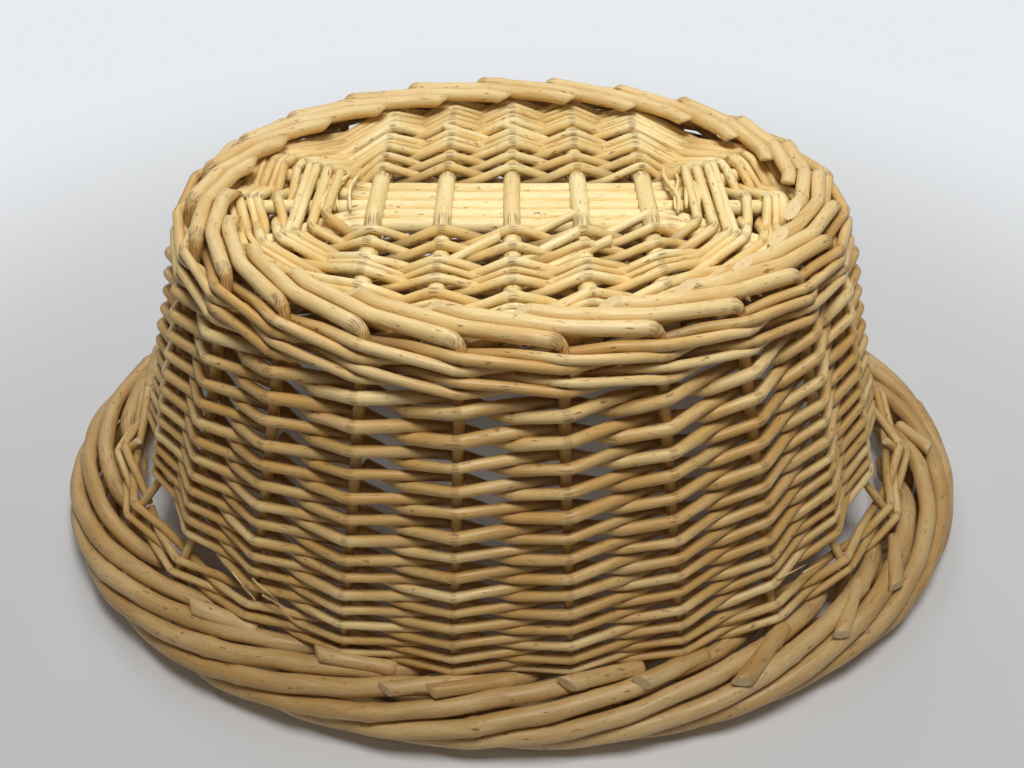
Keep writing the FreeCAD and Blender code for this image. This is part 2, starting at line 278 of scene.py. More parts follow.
@dataclass(frozen=True)
class WillowFinish:
    """Peeled willow: cream to tan along each rod, with fibres, bud scars, cracks, pale cut ends and painted shade on
    strands' inner sides.

    The noises say where fibres, patches and marks lie, the marks how strongly they show, and the heights and the depth
    how far they stand out or in.
    """

    name: str
    pale: Colour
    tan: Colour
    stain: Colour = (0.22, 0.10, 0.035, 1.0)
    rust: Colour = (0.52, 0.29, 0.11, 1.0)
    cut_wood: Colour = (0.88, 0.69, 0.38, 1.0)
    pith: Colour = (0.23, 0.12, 0.05, 1.0)
    # Colour and strength of the painted shade on strands' inner sides, not a colour of the willow.
    painted_shade: Colour = (0.24, 0.13, 0.05, 1.0)
    fibres: Speckle = Speckle(1.0, 0.035, 2.6, 3.0)
    patches: Speckle = Speckle(0.12, 0.022, 1.0, 3.0)
    blotches: Speckle = Speckle(0.30, 0.09, 1.0, 4.0)
    marks: Speckle = Speckle(0.62, 0.20, 1.0, 2.0)
    cracks: Speckle = Speckle(0.95, 0.016, 1.5, 1.0)
    rings: Speckle = Speckle(1.2, 0.0, 1.0, 2.0)
    tan_tone: Mark = Mark(0.0, 1.0, 0.55)
    tan_patch: Mark = Mark(0.32, 0.72, 0.6)
    tan_all: Mark = Mark(0.05, 1.05)
    fibre: Mark = Mark(0.30, 0.74, 0.36)
    painted_shade_strength: Mark = Mark(0.9, 2.0, 0.75)
    rusty: Mark = Mark(0.56, 0.78, 0.42)
    scar: Mark = Mark(0.635, 0.74, 0.9)
    split: Mark = Mark(0.735, 0.765, 0.7)
    split_patch: Mark = Mark(0.40, 0.60)
    crease: Mark = Mark(0.30, 0.85, 0.8)
    crease_fibre: Mark = Mark(0.44, 0.58)
    cut_face: Mark = Mark(0.25, 0.75)
    cut_ring: Mark = Mark(0.35, 0.75, 0.4)
    cut_pith: Mark = Mark(1.80, 1.97, 0.3)
    cut_rim: Mark = Mark(1.15, 1.0, 0.25)
    dark_share: float = 0.85
    fibre_height: float = 0.35
    dark_depth: float = 0.8
    blotch_height: float = 0.25
    roughness: float = 0.30
    fibre_roughness: float = 0.22
    cut_roughness: float = 0.25
    gloss: float = 0.35
    bump_strength: float = 0.35
    bump_distance: float = 0.0006

    def material(self) -> bpy.types.Material:
        """Build the material from the rods' own attributes.

        grain holds a place in the rod in millimetres, with Z along the rod. tone is 0 for a pale rod, 1 for a tan
        one and 2 where painted shade darkens a strand's inner side in the weave. bend is 1 in the middle of a sharp
        bend. cut is 0 on the rod's side, 1 at the rim of a cut end and 2 at its centre.

        Returns:
            The material.
        """
        graph = Graph(bpy.data.materials.new(self.name))
        grain = graph.attribute("grain", "Vector")
        tone, cut, bend = (graph.attribute(name) for name in ("tone", "cut", "bend"))
        fibres, patches, blotches, marks, cracks, rings = (speckle.on(graph, grain) for speckle in (
            self.fibres, self.patches, self.blotches, self.marks, self.cracks, self.rings))
        warmth = self.tan_tone.on(tone) + self.tan_patch.on(patches)
        colour = graph.mix(self.pale, self.tan, self.tan_all.on(warmth))
        colour = graph.mix(colour, self.tan, self.fibre.on(fibres), "MULTIPLY")
        # Painted shade: where tone rises above 1 on a strand's inner side, the colour darkens towards the shade
        # colour.
        colour = graph.mix(colour, self.painted_shade, self.painted_shade_strength.on(tone))
        colour = graph.mix(colour, self.rust, self.rusty.on(blotches))
        splits = self.split.on(cracks, self.split_patch.on(patches))
        creases = self.crease.on(bend, self.crease_fibre.on(fibres))
        dark = self.scar.on(marks).over(splits).over(creases) * self.dark_share
        colour = graph.mix(colour, self.stain, dark)
        face = self.cut_face.on(cut)
        wood = graph.mix(self.cut_wood, self.tan, self.cut_ring.on(rings))
        wood = graph.mix(wood, self.pith, self.cut_pith.on(cut))
        wood = graph.mix(wood, self.pith, self.cut_rim.on(cut))
        colour = graph.mix(colour, wood, face)
        rough = fibres * self.fibre_roughness + self.roughness + face * self.cut_roughness
        height = fibres * self.fibre_height - dark * self.dark_depth + blotches * self.blotch_height
        normal = graph.node("ShaderNodeBump", {}, {
            "Strength": self.bump_strength, "Distance": self.bump_distance, "Height": height})
        shader = graph.node("ShaderNodeBsdfPrincipled", {}, {
            "Base Color": colour, "Roughness": rough, "Normal": normal, "Specular IOR Level": self.gloss})
        return graph.finish(shader)


@dataclass(frozen=True)
class PaleGround:
    """Plain pale floor.

    Attributes:
        far_colour: Colour of the backdrop.
        fade: Distances in metres at which the floor starts to fade and is all backdrop.
        shift: Shift of the places of which the distance is taken.
    """

    name: str = "pale_ground"
    colour: Colour = (0.86, 0.86, 0.86, 1.0)
    far_colour: Colour = (0.81, 0.83, 0.85, 1.0)
    roughness: float = 0.6
    fade: Range = (0.18, 0.72)
    shift: Place = (0.0, 0.12, 0.0)

    def material(self) -> bpy.types.Material:
        """Build the material: a lit floor near the basket, which the camera sees fade to an even pale backdrop.

        Returns:
            The material.
        """
        graph = Graph(bpy.data.materials.new(self.name))
        lit = graph.node("ShaderNodeBsdfPrincipled", {}, {"Base Color": self.colour, "Roughness": self.roughness})
        even = graph.node("ShaderNodeEmission", {}, {"Color": self.far_colour, "Strength": 1.0})
        place = graph.node("ShaderNodeTexCoord", {}, {}, "Object")
        behind = graph.node("ShaderNodeVectorMath", {"operation": "ADD"}, {0: place, 1: self.shift})
        away = graph.node("ShaderNodeVectorMath", {"operation": "LENGTH"}, {0: behind}, "Value")
        factor = away.band(*self.fade) * graph.seen()
        shader = graph.node("ShaderNodeMixShader", {}, {0: factor, 1: lit, 2: even})
        return graph.finish(shader)


def unit(vectors: Array) -> Array:
    """Vectors of length one, row by row."""
    return vectors / np.linalg.norm(vectors, axis=-1, keepdims=True)


def dot(first: Array, second: Array) -> Array:
    """Scalar products, row by row."""
    return np.einsum("...i,...i->...", first, second)


def passing_offset(reach: Array, along: Array, level: Array) -> Array:
    """Offset beside a post that keeps the straight way to a point at a given reach from the post.

    With the point at a distance along the ring and at a level on the weaver's side, the offset q solves
    reach = q * along / sqrt(along^2 + (q - level)^2).

    Args:
        reach: Least distance from the post.
        along: Distance of the point along the ring.
        level: Height of the point on the weaver's side.

    Returns:
        The offsets.
    """
    spread = along ** 2 - reach ** 2
    root = np.sqrt((reach * level) ** 2 + spread * (along ** 2 + level ** 2))
    return reach * (root - reach * level) / spread


def crossing_rise(radius: float, reach: float) -> float:
    """Rise a / sqrt(1 - (a / reach)^2) of a strand where it crosses another, with a the radius and CROSSING_GAP."""
    apart = radius + CROSSING_GAP
    return apart / math.sqrt(1 - (apart / reach) ** 2)


def run_to_oval(start: Array, head: Array, half: Array) -> Array:
    """Runs k from level points along headings to an oval, which solve |(start + k head) / half| = 1.

    Args:
        start: Points.
        head: Headings.
        half: Half length and half width of the oval.

    Returns:
        The runs.
    """
    p, h = start[..., :2] / half, head[..., :2] / half
    a, b, c = dot(h, h), dot(p, h), dot(p, p) - 1
    return (np.sqrt(b * b - a * c) - b) / a


def ripple(lengths: Array, rng: Rng, waves: tuple[float, ...]) -> Array:
    """Smooth noise of about -1 to 1 along a rod: a sum of sines of the given wavelengths with chance phases."""
    phases = rng.uniform(0, 2 * math.pi, len(waves))
    return np.sin(2 * math.pi * lengths[:, None] / np.array(waves) + phases).mean(axis=1) * RIPPLE_GAIN


def chance_tone(rng: Rng, mean: float | Array, spread: float) -> Array:
    """Tone of about the mean, from 0 to 1."""
    return np.clip(mean + rng.normal(0, spread), 0, 1)


@dataclass(frozen=True)
class Growth:
    """Unevenness of a grown rod: sideways sway, share of the radius that varies, and bud knots on each millimetre."""

    sway: float
    swell: float
    knots: float = 0.004


@dataclass
class Rod:
    """One willow rod along a path.

    Attributes:
        path: Points of the centre line.
        radii: Radius of the rod or of each point.
        guides: Direction that the first side of the section faces, for the rod or for each point.
        tone: 0 for pale, 1 for tan and 2 for painted shade, for the rod or for each point.
        slants: Slope of the cut at the start and at the end, 0 for a square cut.
        split: Whether the half away from the guides is split off.
        bends: Sharpness of the bend at each point, from 0 to 1.
        RUN_SHARE: Largest share of a straight run that one bend takes up.
        SHARP_TURN: Turn in radians from which a bend is fully sharp.
        CREASE_SHARE: Length of a crease as a share of the bend's size, beyond CREASE_LEAST.
        KNOT_RISE: Height of a bud knot as a share of the radius, along KNOT_LENGTH.
        SWAY_WAVES: Wavelengths of the sway, as SWELL_WAVES are of the thickness.
    """

    path: Array
    radii: float | Array
    guides: Array
    tone: float | Array
    slants: Range = (0.15, 0.15)
    split: bool = False
    bends: float | Array = 0.0

    RUN_SHARE = 0.45
    SHARP_TURN = 0.7
    CREASE_SHARE = 0.45
    CREASE_LEAST = 1.0
    KNOT_RISE = 0.13
    KNOT_LENGTH = 2.5
    SWAY_WAVES = (190.0, 83.0, 37.0)
    SWELL_WAVES = (150.0, 61.0, 23.0)

    def __post_init__(self) -> None:
        """Give each point its own values."""
        count = len(self.path)
        self.guides = np.broadcast_to(self.guides, (count, 3))
        self.radii, self.tone, self.bends = (
            np.broadcast_to(values, count) for values in (self.radii, self.tone, self.bends))

    def rounded(self, size: float, arc: int = 5, run: int = 4) -> "Rod":
        """Round every corner with a parabola and divide the straight runs.

        A corner P becomes (1-s)^2 A + 2s(1-s) P + s^2 C, where A and C lie on its two runs at the given size.

        Args:
            size: Distance from a corner at which its bend starts, at most RUN_SHARE of a run.
            arc: Points on each bend.
            run: Points on each straight run.

        Returns:
            A rod with the finer path.
        """
        count = len(self.path)
        steps = np.diff(self.path, axis=0)
        lengths = np.linalg.norm(steps, axis=1)
        heads = steps / lengths[:, None]
        reach = np.minimum(size, self.RUN_SHARE * np.minimum(lengths[:-1], lengths[1:]))
        corners = self.path[1:-1]
        before = corners - heads[:-1] * reach[:, None]
        after = corners + heads[1:] * reach[:, None]
        s = np.linspace(0, 1, arc)[None, :, None]
        bends = (1 - s) ** 2 * before[:, None] + 2 * s * (1 - s) * corners[:, None] + s ** 2 * after[:, None]
        index = np.arange(1, count - 1)[:, None]
        s = np.linspace(-1, 1, arc)[None, :]
        bend_index = index + s * np.where(s < 0, (reach / lengths[:-1])[:, None], (reach / lengths[1:])[:, None])
        starts = np.vstack([self.path[:1], after])
        ends = np.vstack([before, self.path[-1:]])
        w = np.linspace(0, 1, run + 2)[1:-1]
        runs = starts[:, None] + (ends - starts)[:, None] * w[None, :, None]
        first = np.concatenate([[0.0], bend_index[:, -1]])
        last = np.concatenate([bend_index[:, 0], [count - 1.0]])
        run_index = first[:, None] + (last - first)[:, None] * w[None, :]
        middle = np.concatenate([runs[:-1], bends], axis=1).reshape(-1, 3)
        middle_index = np.concatenate([run_index[:-1], bend_index], axis=1).ravel()
        path = np.vstack([self.path[:1], middle, runs[-1], self.path[-1:]])
        places = np.concatenate([[0.0], middle_index, run_index[-1], [count - 1.0]])
        columns = (*self.guides.T, self.radii, self.tone)
        *guides, radii, tone = (np.interp(places, np.arange(count), column) for column in columns)
        sharp = np.zeros(count)
        sharp[1:-1] = np.clip(np.arccos(np.clip(dot(heads[:-1], heads[1:]), -1, 1)) / self.SHARP_TURN, 0, 1)
        nearest = np.clip(np.rint(places).astype(int), 0, count - 1)
        apart = np.linalg.norm(path - self.path[nearest], axis=1)
        bends = sharp[nearest] * np.exp(-(apart / (self.CREASE_SHARE * size + self.CREASE_LEAST)) ** 2)
        return replace(self, path=path, radii=radii, guides=np.stack(guides, axis=-1), tone=tone, bends=bends)

    def lengths(self) -> Array:
        """Distance along the rod at each point."""
        return np.concatenate([[0.0], np.cumsum(np.linalg.norm(np.diff(self.path, axis=0), axis=1))])

    def grown(self, rng: Rng, growth: Growth) -> "Rod":
        """Give the rod the sway and the uneven thickness of a grown one.

        The path moves sideways by sway times a smooth noise, and the radius is multiplied by 1 + swell * noise and
        by 1 + KNOT_RISE exp(-(d / KNOT_LENGTH)^2) at each bud knot at distance d.

        Args:
            rng: Source of chance.
            growth: Amounts of sway, swell and knots.

        Returns:
            The grown rod.
        """
        along = self.lengths()
        push = np.stack([ripple(along, rng, self.SWAY_WAVES) for _ in range(3)], axis=-1)
        buds = rng.uniform(0, along[-1], max(1, int(along[-1] * growth.knots)))
        bumps = self.KNOT_RISE * np.exp(-((along[:, None] - buds) / self.KNOT_LENGTH) ** 2).max(axis=1)
        radii = self.radii * (1 + growth.swell * ripple(along, rng, self.SWELL_WAVES)) * (1 + bumps)
        return replace(self, path=self.path + push * growth.sway, radii=radii)


class RodMesh:
    """Mesh of several rods, each a circle carried along its path with a flat cut at both ends.

    Attributes:
        CAP_RINGS: Radius and shift of the rings of a cut end, as shares of the rod's radius.
        TRIM: Share of its distance from the end to which a slanted cut trims a ring.
        GRAIN_SPREAD: Spread of the rods' places in the noise.
    """

    CAP_RINGS = ((1.0, 0.0), (0.93, 0.05), (0.5, 0.06))
    TRIM = 0.97
    GRAIN_SPREAD = 400

    def __init__(self, sides: int) -> None:
        """Start an empty mesh.

        Args:
            sides: Sides of each rod.
        """
        self.sides = sides
        self.count = 0
        names = ("verts", "grain", "tone", "cut", "bend", "quads", "tris")
        self.arrays: dict[str, list[Array]] = {name: [] for name in names}

    @property
    def triangles(self) -> int:
        """Number of triangles."""
        return sum(2 * len(quads) for quads in self.arrays["quads"]) + sum(len(tris) for tris in self.arrays["tris"])

    def keep(self, name: str, values: Array, last: Array | list[float]) -> None:
        """Keep one value for each point of a rod, and those of its two end points."""
        self.arrays[name].append(np.concatenate([values, last]))

    def add(self, rod: Rod, rng: Rng) -> None:
        """Add a rod.

        A point of the surface is P(i) + r(i) (cos t X(i) + sin t Y(i)), with Y and X square to the path. The cut ends
        shrink in rings to one point. A slanted cut moves a point along the rod by slope times its X, and trims the
        rings that it passes.

        Args:
            rod: The rod.
            rng: Source of the grain's place.
        """
        tangents = unit(np.gradient(rod.path, axis=0))
        across = unit(rod.guides - tangents * dot(rod.guides, tangents)[:, None])
        over = np.cross(tangents, across)
        shares, shifts = (np.array(column) for column in zip(*self.CAP_RINGS))
        n, caps = len(rod.path), len(self.CAP_RINGS)
        rows = np.concatenate([[0] * (caps - 1), np.arange(n), [n - 1] * (caps - 1)])
        share = np.concatenate([shares[:0:-1], np.ones(n), shares[1:]])
        shift = np.concatenate([-shifts[:0:-1], np.zeros(n), shifts[1:]])
        cut = np.concatenate([2 - shares[:0:-1], np.zeros(n), 2 - shares[1:]])
        run = rod.lengths()
        t = np.linspace(0, 2 * math.pi, self.sides, endpoint=False)
        cos = np.maximum(np.cos(t), 0.0) if rod.split else np.cos(t)
        radii = (rod.radii[rows] * share)[:, None]
        x, y = radii * cos, radii * np.sin(t)
        head, tail = rod.slants[0] * x, rod.slants[1] * x
        lean = np.maximum(head - self.TRIM * run[rows][:, None], 0) + np.minimum(
            tail + self.TRIM * (run[-1] - run[rows])[:, None], 0)
        lean[:caps], lean[-caps:] = head[:caps], tail[-caps:]
        lean += (shift * rod.radii[rows])[:, None]
        rings = (rod.path[rows][:, None] + across[rows][:, None] * x[..., None] + over[rows][:, None] * y[..., None]
                 + tangents[rows][:, None] * lean[..., None])
        along = run[rows][:, None] + lean
        home = rng.uniform(0, self.GRAIN_SPREAD, 3)
        grain = np.stack([x, y, along], axis=-1) + home
        poles = rings[[0, -1]].mean(axis=1)
        pole_grain = grain[[0, -1]].mean(axis=1)
        total = rings.shape[0] * self.sides
        grid = self.count + np.arange(total).reshape(-1, self.sides)
        turn = np.roll(grid, -1, axis=1)
        self.arrays["quads"].append(np.stack([grid[:-1], turn[:-1], turn[1:], grid[1:]], axis=-1).reshape(-1, 4))
        start = np.full(self.sides, self.count + total)
        self.arrays["tris"].append(np.stack([start, turn[0], grid[0]], axis=-1))
        self.arrays["tris"].append(np.stack([start + 1, grid[-1], turn[-1]], axis=-1))
        self.keep("verts", rings.reshape(-1, 3), poles)
        self.keep("grain", grain.reshape(-1, 3), pole_grain)
        self.keep("cut", np.repeat(cut, self.sides), [2.0, 2.0])
        self.keep("tone", np.repeat(rod.tone[rows], self.sides), rod.tone[[0, -1]])
        self.keep("bend", np.repeat(rod.bends[rows], self.sides), [0.0, 0.0])
        self.count += total + 2

    def mesh(self, name: str) -> bpy.types.Mesh:
        """Put the arrays into a mesh, in metres, with smooth sides and flat cuts.

        Args:
            name: Name of the mesh.

        Returns:
            The mesh.
        """
        values = {key: np.concatenate(parts) for key, parts in self.arrays.items()}
        quads, tris = values["quads"], values["tris"]
        made = bpy.data.meshes.new(name)
        made.vertices.add(self.count)
        made.vertices.foreach_set("co", (values["verts"] * MM).astype(np.float32).ravel())
        made.loops.add(quads.size + tris.size)
        made.loops.foreach_set("vertex_index", np.concatenate([quads.ravel(), tris.ravel()]).astype(np.int32))
        made.polygons.add(len(quads) + len(tris))
        starts = np.concatenate([np.arange(len(quads)) * 4, quads.size + np.arange(len(tris)) * 3])
        made.polygons.foreach_set("loop_start", starts.astype(np.int32))
        smooth = np.concatenate([(values["cut"][quads] < 0.5).all(axis=1), np.zeros(len(tris), bool)])
        made.update(calc_edges=True)
        made.polygons.foreach_set("use_smooth", smooth)
        for key, kind, field_name in (("grain", "FLOAT_VECTOR", "vector"), ("tone", "FLOAT", "value"),
                                      ("cut", "FLOAT", "value"), ("bend", "FLOAT", "value")):
            made.attributes.new(key, kind, "POINT").data.foreach_set(
                field_name, values[key].astype(np.float32).ravel())
        made.validate()
        return made


class Workshop:
    """Makes finished pieces: meshes with the material of their slot, and their body."""

    def __init__(self, finishes: dict[Slot, WillowFinish]) -> None:
        """Make the materials of all slots."""
        self.materials = {slot: finish.material() for slot, finish in finishes.items()}
        self.triangles = 0

    def piece(self, name: str, rods: list[Rod], kind: Kind, index: int, *nodes: str) -> None:
        """Make one piece of several rods.

        Args:
            name: Name of the piece.
            rods: Its rods.
            kind: How it is made.
            index: Its place among the pieces of this kind.
            nodes: CAD nodes that the piece stands for.
        """
        slot = kind.value.slot
        rng = np.random.default_rng(kind.value.seed + index)
        builder = RodMesh(kind.value.sides)
        for rod in rods:
            builder.add(rod, rng)
        mesh = builder.mesh(name)
        mesh.materials.append(self.materials[slot])
        made = put(name, mesh)
        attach(made, BODY)
        if nodes:
            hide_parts(*nodes)
        self.triangles += builder.triangles
        log.info("%s: %d rods, %d triangles", name, len(rods), builder.triangles)


@dataclass(frozen=True)
class BasketForm:
    """Curves that the basket's pieces share: level ovals, the flared wall and the line of the border."""

    base_half: Array = pair(142.5, 102.5)
    floor_half: Array = pair(216.8, 158.0)
    rope_half: Array = pair(236.0, 158.6)
    stakes: int = 24
    base_z: float = 180.5
    foot_z: float = 191.4
    wale_top: float = 188.1
    wale_bottom: float = 170.35
    wall_low: float = 46.2
    handle_rise: float = 11.0
    tip_out: float = -12.2
    tip_high: float = 30.3
    tip_low: float = 13.7
    stake_wall_radius: float = 2.4
    stake_tip_radius: float = 2.1

    @property
    def step(self) -> float:
        """Angle from one stake to the next."""
        return 2 * math.pi / self.stakes

    @property
    def angles(self) -> Array:
        """Angles of the stakes on the ovals."""
        return (np.arange(self.stakes) + 0.5) * self.step

    @staticmethod
    def oval(half: Array, angle: Array, z: Array) -> Array:
        """Points (a cos t, b sin t, z) of level ovals."""
        x, y, z = np.broadcast_arrays(half[..., 0] * np.cos(angle), half[..., 1] * np.sin(angle), z)
        return np.stack([x, y, z], axis=-1).astype(float)

    @staticmethod
    def normal(half: Array, angle: Array) -> Array:
        """Level unit vectors (b cos t, a sin t, 0) out of an oval."""
        x, y = half[1] * np.cos(angle), half[0] * np.sin(angle)
        return unit(np.stack([x, y, np.zeros_like(x)], axis=-1))

    def wall(self, angle: Array, z: Array) -> Array:
        """Points of the stakes' line, straight from the base to the floor."""
        share = np.asarray(z / self.base_z)[..., None]
        return self.oval(self.floor_half + (self.base_half - self.floor_half) * share, angle, z)

    def turn(self, angle: Array) -> Array:
        """Points where the stakes leave the wall for the border, higher at the handles."""
        return self.wall(angle, self.wall_low + self.handle_rise * np.cos(angle) ** 4)

    def rope_angle(self, angle: Array) -> Array:
        """Angles on the border's oval straight out from stakes on the wall.

        Args:
            angle: Angles of the stakes.

        Returns:
            The angles on the border's oval.
        """
        start, head = self.turn(angle), self.normal(self.floor_half, angle)
        place = start + head * run_to_oval(start, head, self.rope_half)[..., None]
        return np.arctan2(place[..., 1] / self.rope_half[1], place[..., 0] / self.rope_half[0])

    def tip(self, angle: Array, z: float) -> Array:
        """Points of the stakes' tips on the inner side of the border."""
        here = self.rope_angle(angle)
        return self.oval(self.rope_half, here, z) + self.normal(self.rope_half, here) * self.tip_out

    def stake_radius(self, z: Array) -> Array:
        """Radius of a stake between the border and the base."""
        share = (z - self.tip_high) / (self.base_z - self.tip_high)
        return self.stake_tip_radius + (self.stake_wall_radius - self.stake_tip_radius) * share


@dataclass(frozen=True)
class Laying:
    """How strands are laid.

    Attributes:
        tone: Mean tone of the outside.
        bend: Size of the bends at the posts.
        swell: Share of the strands' radius that the rods have.
        jitter: Spread of the strands' heights.
    """

    tone: float
    bend: float
    swell: float
    jitter: float


@dataclass
class Weave:
    """Strands that pass round a ring of posts.

    Attributes:
        posts: Points on the posts.
        ups: Directions along the posts.
        reaches: Distance from each post's centre to a strand's centre.
        radius: Radius of the strands.
        lean: Share of a crossing's rise by which both strands drop there.
        gap: Gap between a strand's two ends.
        inner_shade: Tone that the strands' inner sides have more than their outer ones, which paints shade on them.
        THICKNESS: Range of the strands' thickness.
        BUTT_SHARE: Share of the radius at a rod's butt, of which TAPER is lost on the way to its tip.
        GUIDE_SPREAD: Spread of the guides about straight up.
        TONE_SPREAD: Spread of the strands' tones.
        GROWTH: Unevenness of the strands.
    """

    posts: Array
    ups: Array
    reaches: Array
    radius: float
    lean: float = 0.0
    gap: float = 3.0
    inner_shade: float = 1.0

    THICKNESS = (0.90, 1.06)
    BUTT_SHARE = 1.09
    TAPER = 0.18
    GUIDE_SPREAD = 0.02
    TONE_SPREAD = 0.22
    GROWTH = Growth(0.22, 0.05)

    def strand(self, faces: Array, lifts: Array, cross: float, start: int) -> tuple[Array, Array]:
        """Path of one strand once round the ring.

        At a post the strand lies at post + face * offset * out + lift * up. Where the face changes between two
        posts, it goes through the point midway between them, (face - lean) * cross above it along the posts.

        Args:
            faces: 1 where the strand passes outside a post and -1 inside.
            lifts: Height of the strand along each post.
            cross: Height at which it changes sides.
            start: Post behind which the strand starts and ends.

        Returns:
            The path's points, and 1 where a point lies outside the posts, 0 between them and -1 inside.
        """
        after = np.roll(self.posts, -1, axis=0)
        before = np.roll(self.posts, 1, axis=0)
        outs = unit(np.cross(after - before, self.ups))
        changes = faces != np.roll(faces, -1)
        rises = unit(self.ups + np.roll(self.ups, -1, axis=0)) * ((faces - self.lean) * cross)[:, None]
        crossings = (self.posts + after) / 2 + rises
        sides = outs * faces[:, None]
        along = np.cross(sides, self.ups)
        offsets = self.reaches.copy()
        for points, mask in ((crossings, changes), (np.roll(crossings, 1, axis=0), np.roll(changes, 1))):
            way = points - self.posts
            passing = passing_offset(self.reaches, np.abs(dot(way, along)), dot(way, sides))
            offsets = np.where(mask, np.maximum(offsets, passing), offsets)
        spots = self.posts + sides * offsets[:, None] + self.ups * lifts[:, None]
        columns = ((spots, crossings), (np.ones_like(changes), changes), (faces, 0 * faces))
        points, kept, shown = (np.roll(np.stack(both, axis=1), -start, axis=0) for both in columns)
        path, shown = points[kept], shown[kept]
        path = np.vstack([path, path[:1]])
        path[0] += unit(path[1] - path[0]) * self.gap / 2
        path[-1] += unit(path[-2] - path[-1]) * self.gap / 2
        return path, np.append(shown, shown[0])

    def rods(self, strands: list[tuple[Array, Array]], laying: Laying, rng: Rng) -> list[Rod]:
        """Dress strands as rods laid one after another, each thicker at its butt than at its tip.

        Args:
            strands: Paths of the strands, and which of their points are outside.
            laying: How they are laid.
            rng: Source of chance.

        Returns:
            The rods.
        """
        made = []
        for path, shown in strands:
            share = np.linspace(0, 2, len(path)) + rng.uniform()
            thickness = laying.swell * rng.uniform(*self.THICKNESS)
            radii = self.radius * thickness * (self.BUTT_SHARE - self.TAPER * (share % 1.0))
            guide = UP + rng.normal(0, self.GUIDE_SPREAD, 3)
            # Painted shade: tone rises by half of the inner-side tone between posts and by all of it inside them.
            tone = chance_tone(rng, laying.tone, self.TONE_SPREAD) + self.inner_shade * (1 - shown) / 2
            made.append(Rod(path, radii, guide, tone).rounded(laying.bend).grown(rng, self.GROWTH))
        return made

    def pairing(self, fronts: Array, start: int, laying: Laying, rng: Rng) -> list[Rod]:
        """Two strands, one on each side of every post, which cross between posts.

        Args:
            fronts: Side on which the first strand passes each post.
            start: Post near which the strands end.
            laying: How they are laid.
            rng: Source of chance.

        Returns:
            The strands as rods.
        """
        cross = crossing_rise(self.radius, self.reaches.min())
        row = rng.normal(0, laying.jitter, len(fronts))
        paths = []
        for side in (1, -1):
            faces = side * fronts
            inside = (start + int(np.argmax(np.roll(faces, -start) < 0))) % len(faces)
            lifts = row + rng.normal(0, laying.jitter / 2, len(fronts))
            paths.append(self.strand(faces, lifts, cross, inside))
        return self.rods(paths, laying, rng)


